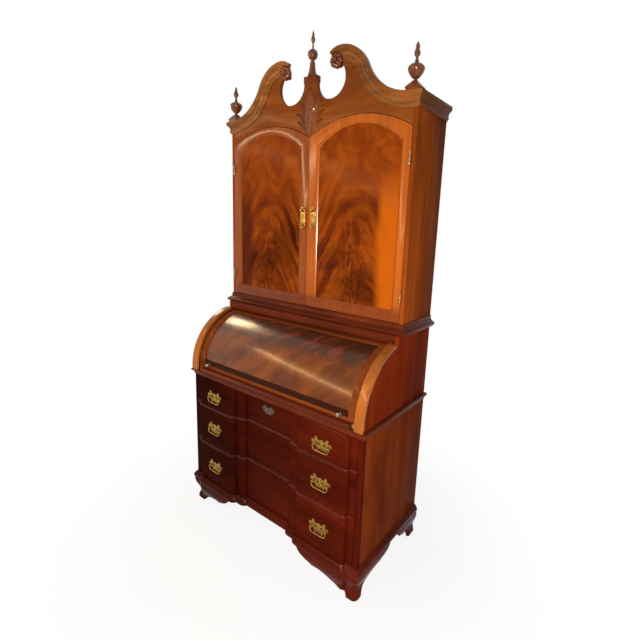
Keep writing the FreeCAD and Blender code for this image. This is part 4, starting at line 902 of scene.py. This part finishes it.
def floor_finish():
    """A pale floor that keeps a faint shadow by the piece and turns white further out."""
    shader = Shader("pale_floor")
    place = shader.place()
    mottle = shader.noise(place, 3.0, detail=3.0)
    shader.finish(shader.ramp(mottle, ((0.3, 0.86), (0.7, 0.9))), 0.85)
    reach = shader.tree.nodes.new("ShaderNodeVectorMath")
    reach.operation = "LENGTH"
    shader.put(reach.inputs[0], place)
    far = shader.between(reach.outputs["Value"], *FLOOR_FADE)
    share = shader.plus(FLOOR_WHITE, shader.times(far, 1.0 - FLOOR_WHITE))
    lit = shader.surface.outputs[0]
    surface = mixed(shader.tree, share, lit, seen_white(shader.tree, lit))
    shader.tree.links.new(surface, shader.tree.nodes["Material Output"].inputs["Surface"])
    return shader.material


def stage():
    """The floor, and a world that is white to the eye and an even soft light to the piece."""
    mesh = bpy.data.meshes.new("floor")
    mesh.from_pydata([(x * FLOOR_REACH, y * FLOOR_REACH, 0.0) for x, y in SQUARE], [], [(0, 1, 2, 3)])
    mesh.materials.append(floor_finish())
    floor = bpy.data.objects.new("floor", mesh)
    bpy.context.scene.collection.objects.link(floor)
    world = bpy.data.worlds.new("studio")
    bpy.context.scene.world = world
    world.use_nodes = True
    tree = world.node_tree
    lit = tree.nodes["Background"]
    lit.inputs["Color"].default_value = WORLD_LIGHT
    lit.inputs["Strength"].default_value = WORLD_STRENGTH
    tree.links.new(seen_white(tree, lit.outputs[0]), tree.nodes["World Output"].inputs["Surface"])


def lamp(name, place, target, size, power, colour, along=None):
    """An area lamp that faces the target, with its long side level or along a given line."""
    light = bpy.data.lights.new(name, "AREA")
    light.shape = "RECTANGLE"
    light.size, light.size_y = size
    light.energy = power
    light.color = colour
    thing = bpy.data.objects.new(name, light)
    back = Vector(place) - Vector(target)
    side = (Vector(along) if along else Vector((0.0, 0.0, 1.0)).cross(back)).normalized()
    back = (back - side * back.dot(side)).normalized()
    thing.matrix_world = Matrix((side, back.cross(side), back)).transposed().to_4x4()
    thing.location = place
    bpy.context.scene.collection.objects.link(thing)


def camera():
    """The photograph's view: from the right of the front, at about eye height, a little tilted."""
    level = math.cos(CAMERA_DROP)
    right = Vector((math.cos(CAMERA_TURN), math.sin(CAMERA_TURN), 0.0))
    back = Vector((math.sin(CAMERA_TURN) * level, -math.cos(CAMERA_TURN) * level, math.sin(CAMERA_DROP)))
    up = back.cross(right)
    x_axis = right * math.cos(CAMERA_ROLL) + up * math.sin(CAMERA_ROLL)
    y_axis = up * math.cos(CAMERA_ROLL) - right * math.sin(CAMERA_ROLL)
    data = bpy.data.cameras.new("camera")
    data.sensor_width = SENSOR_WIDTH
    data.lens = LENS
    data.shift_x, data.shift_y = SHIFT
    thing = bpy.data.objects.new("camera", data)
    thing.matrix_world = Matrix((x_axis, y_axis, back)).transposed().to_4x4()
    thing.location = CAMERA_PLACE
    bpy.context.scene.collection.objects.link(thing)
    bpy.context.scene.camera = thing


stage()
for row in LAMPS:
    lamp(*row)
camera()
bpy.context.scene.view_settings.view_transform = "Standard"
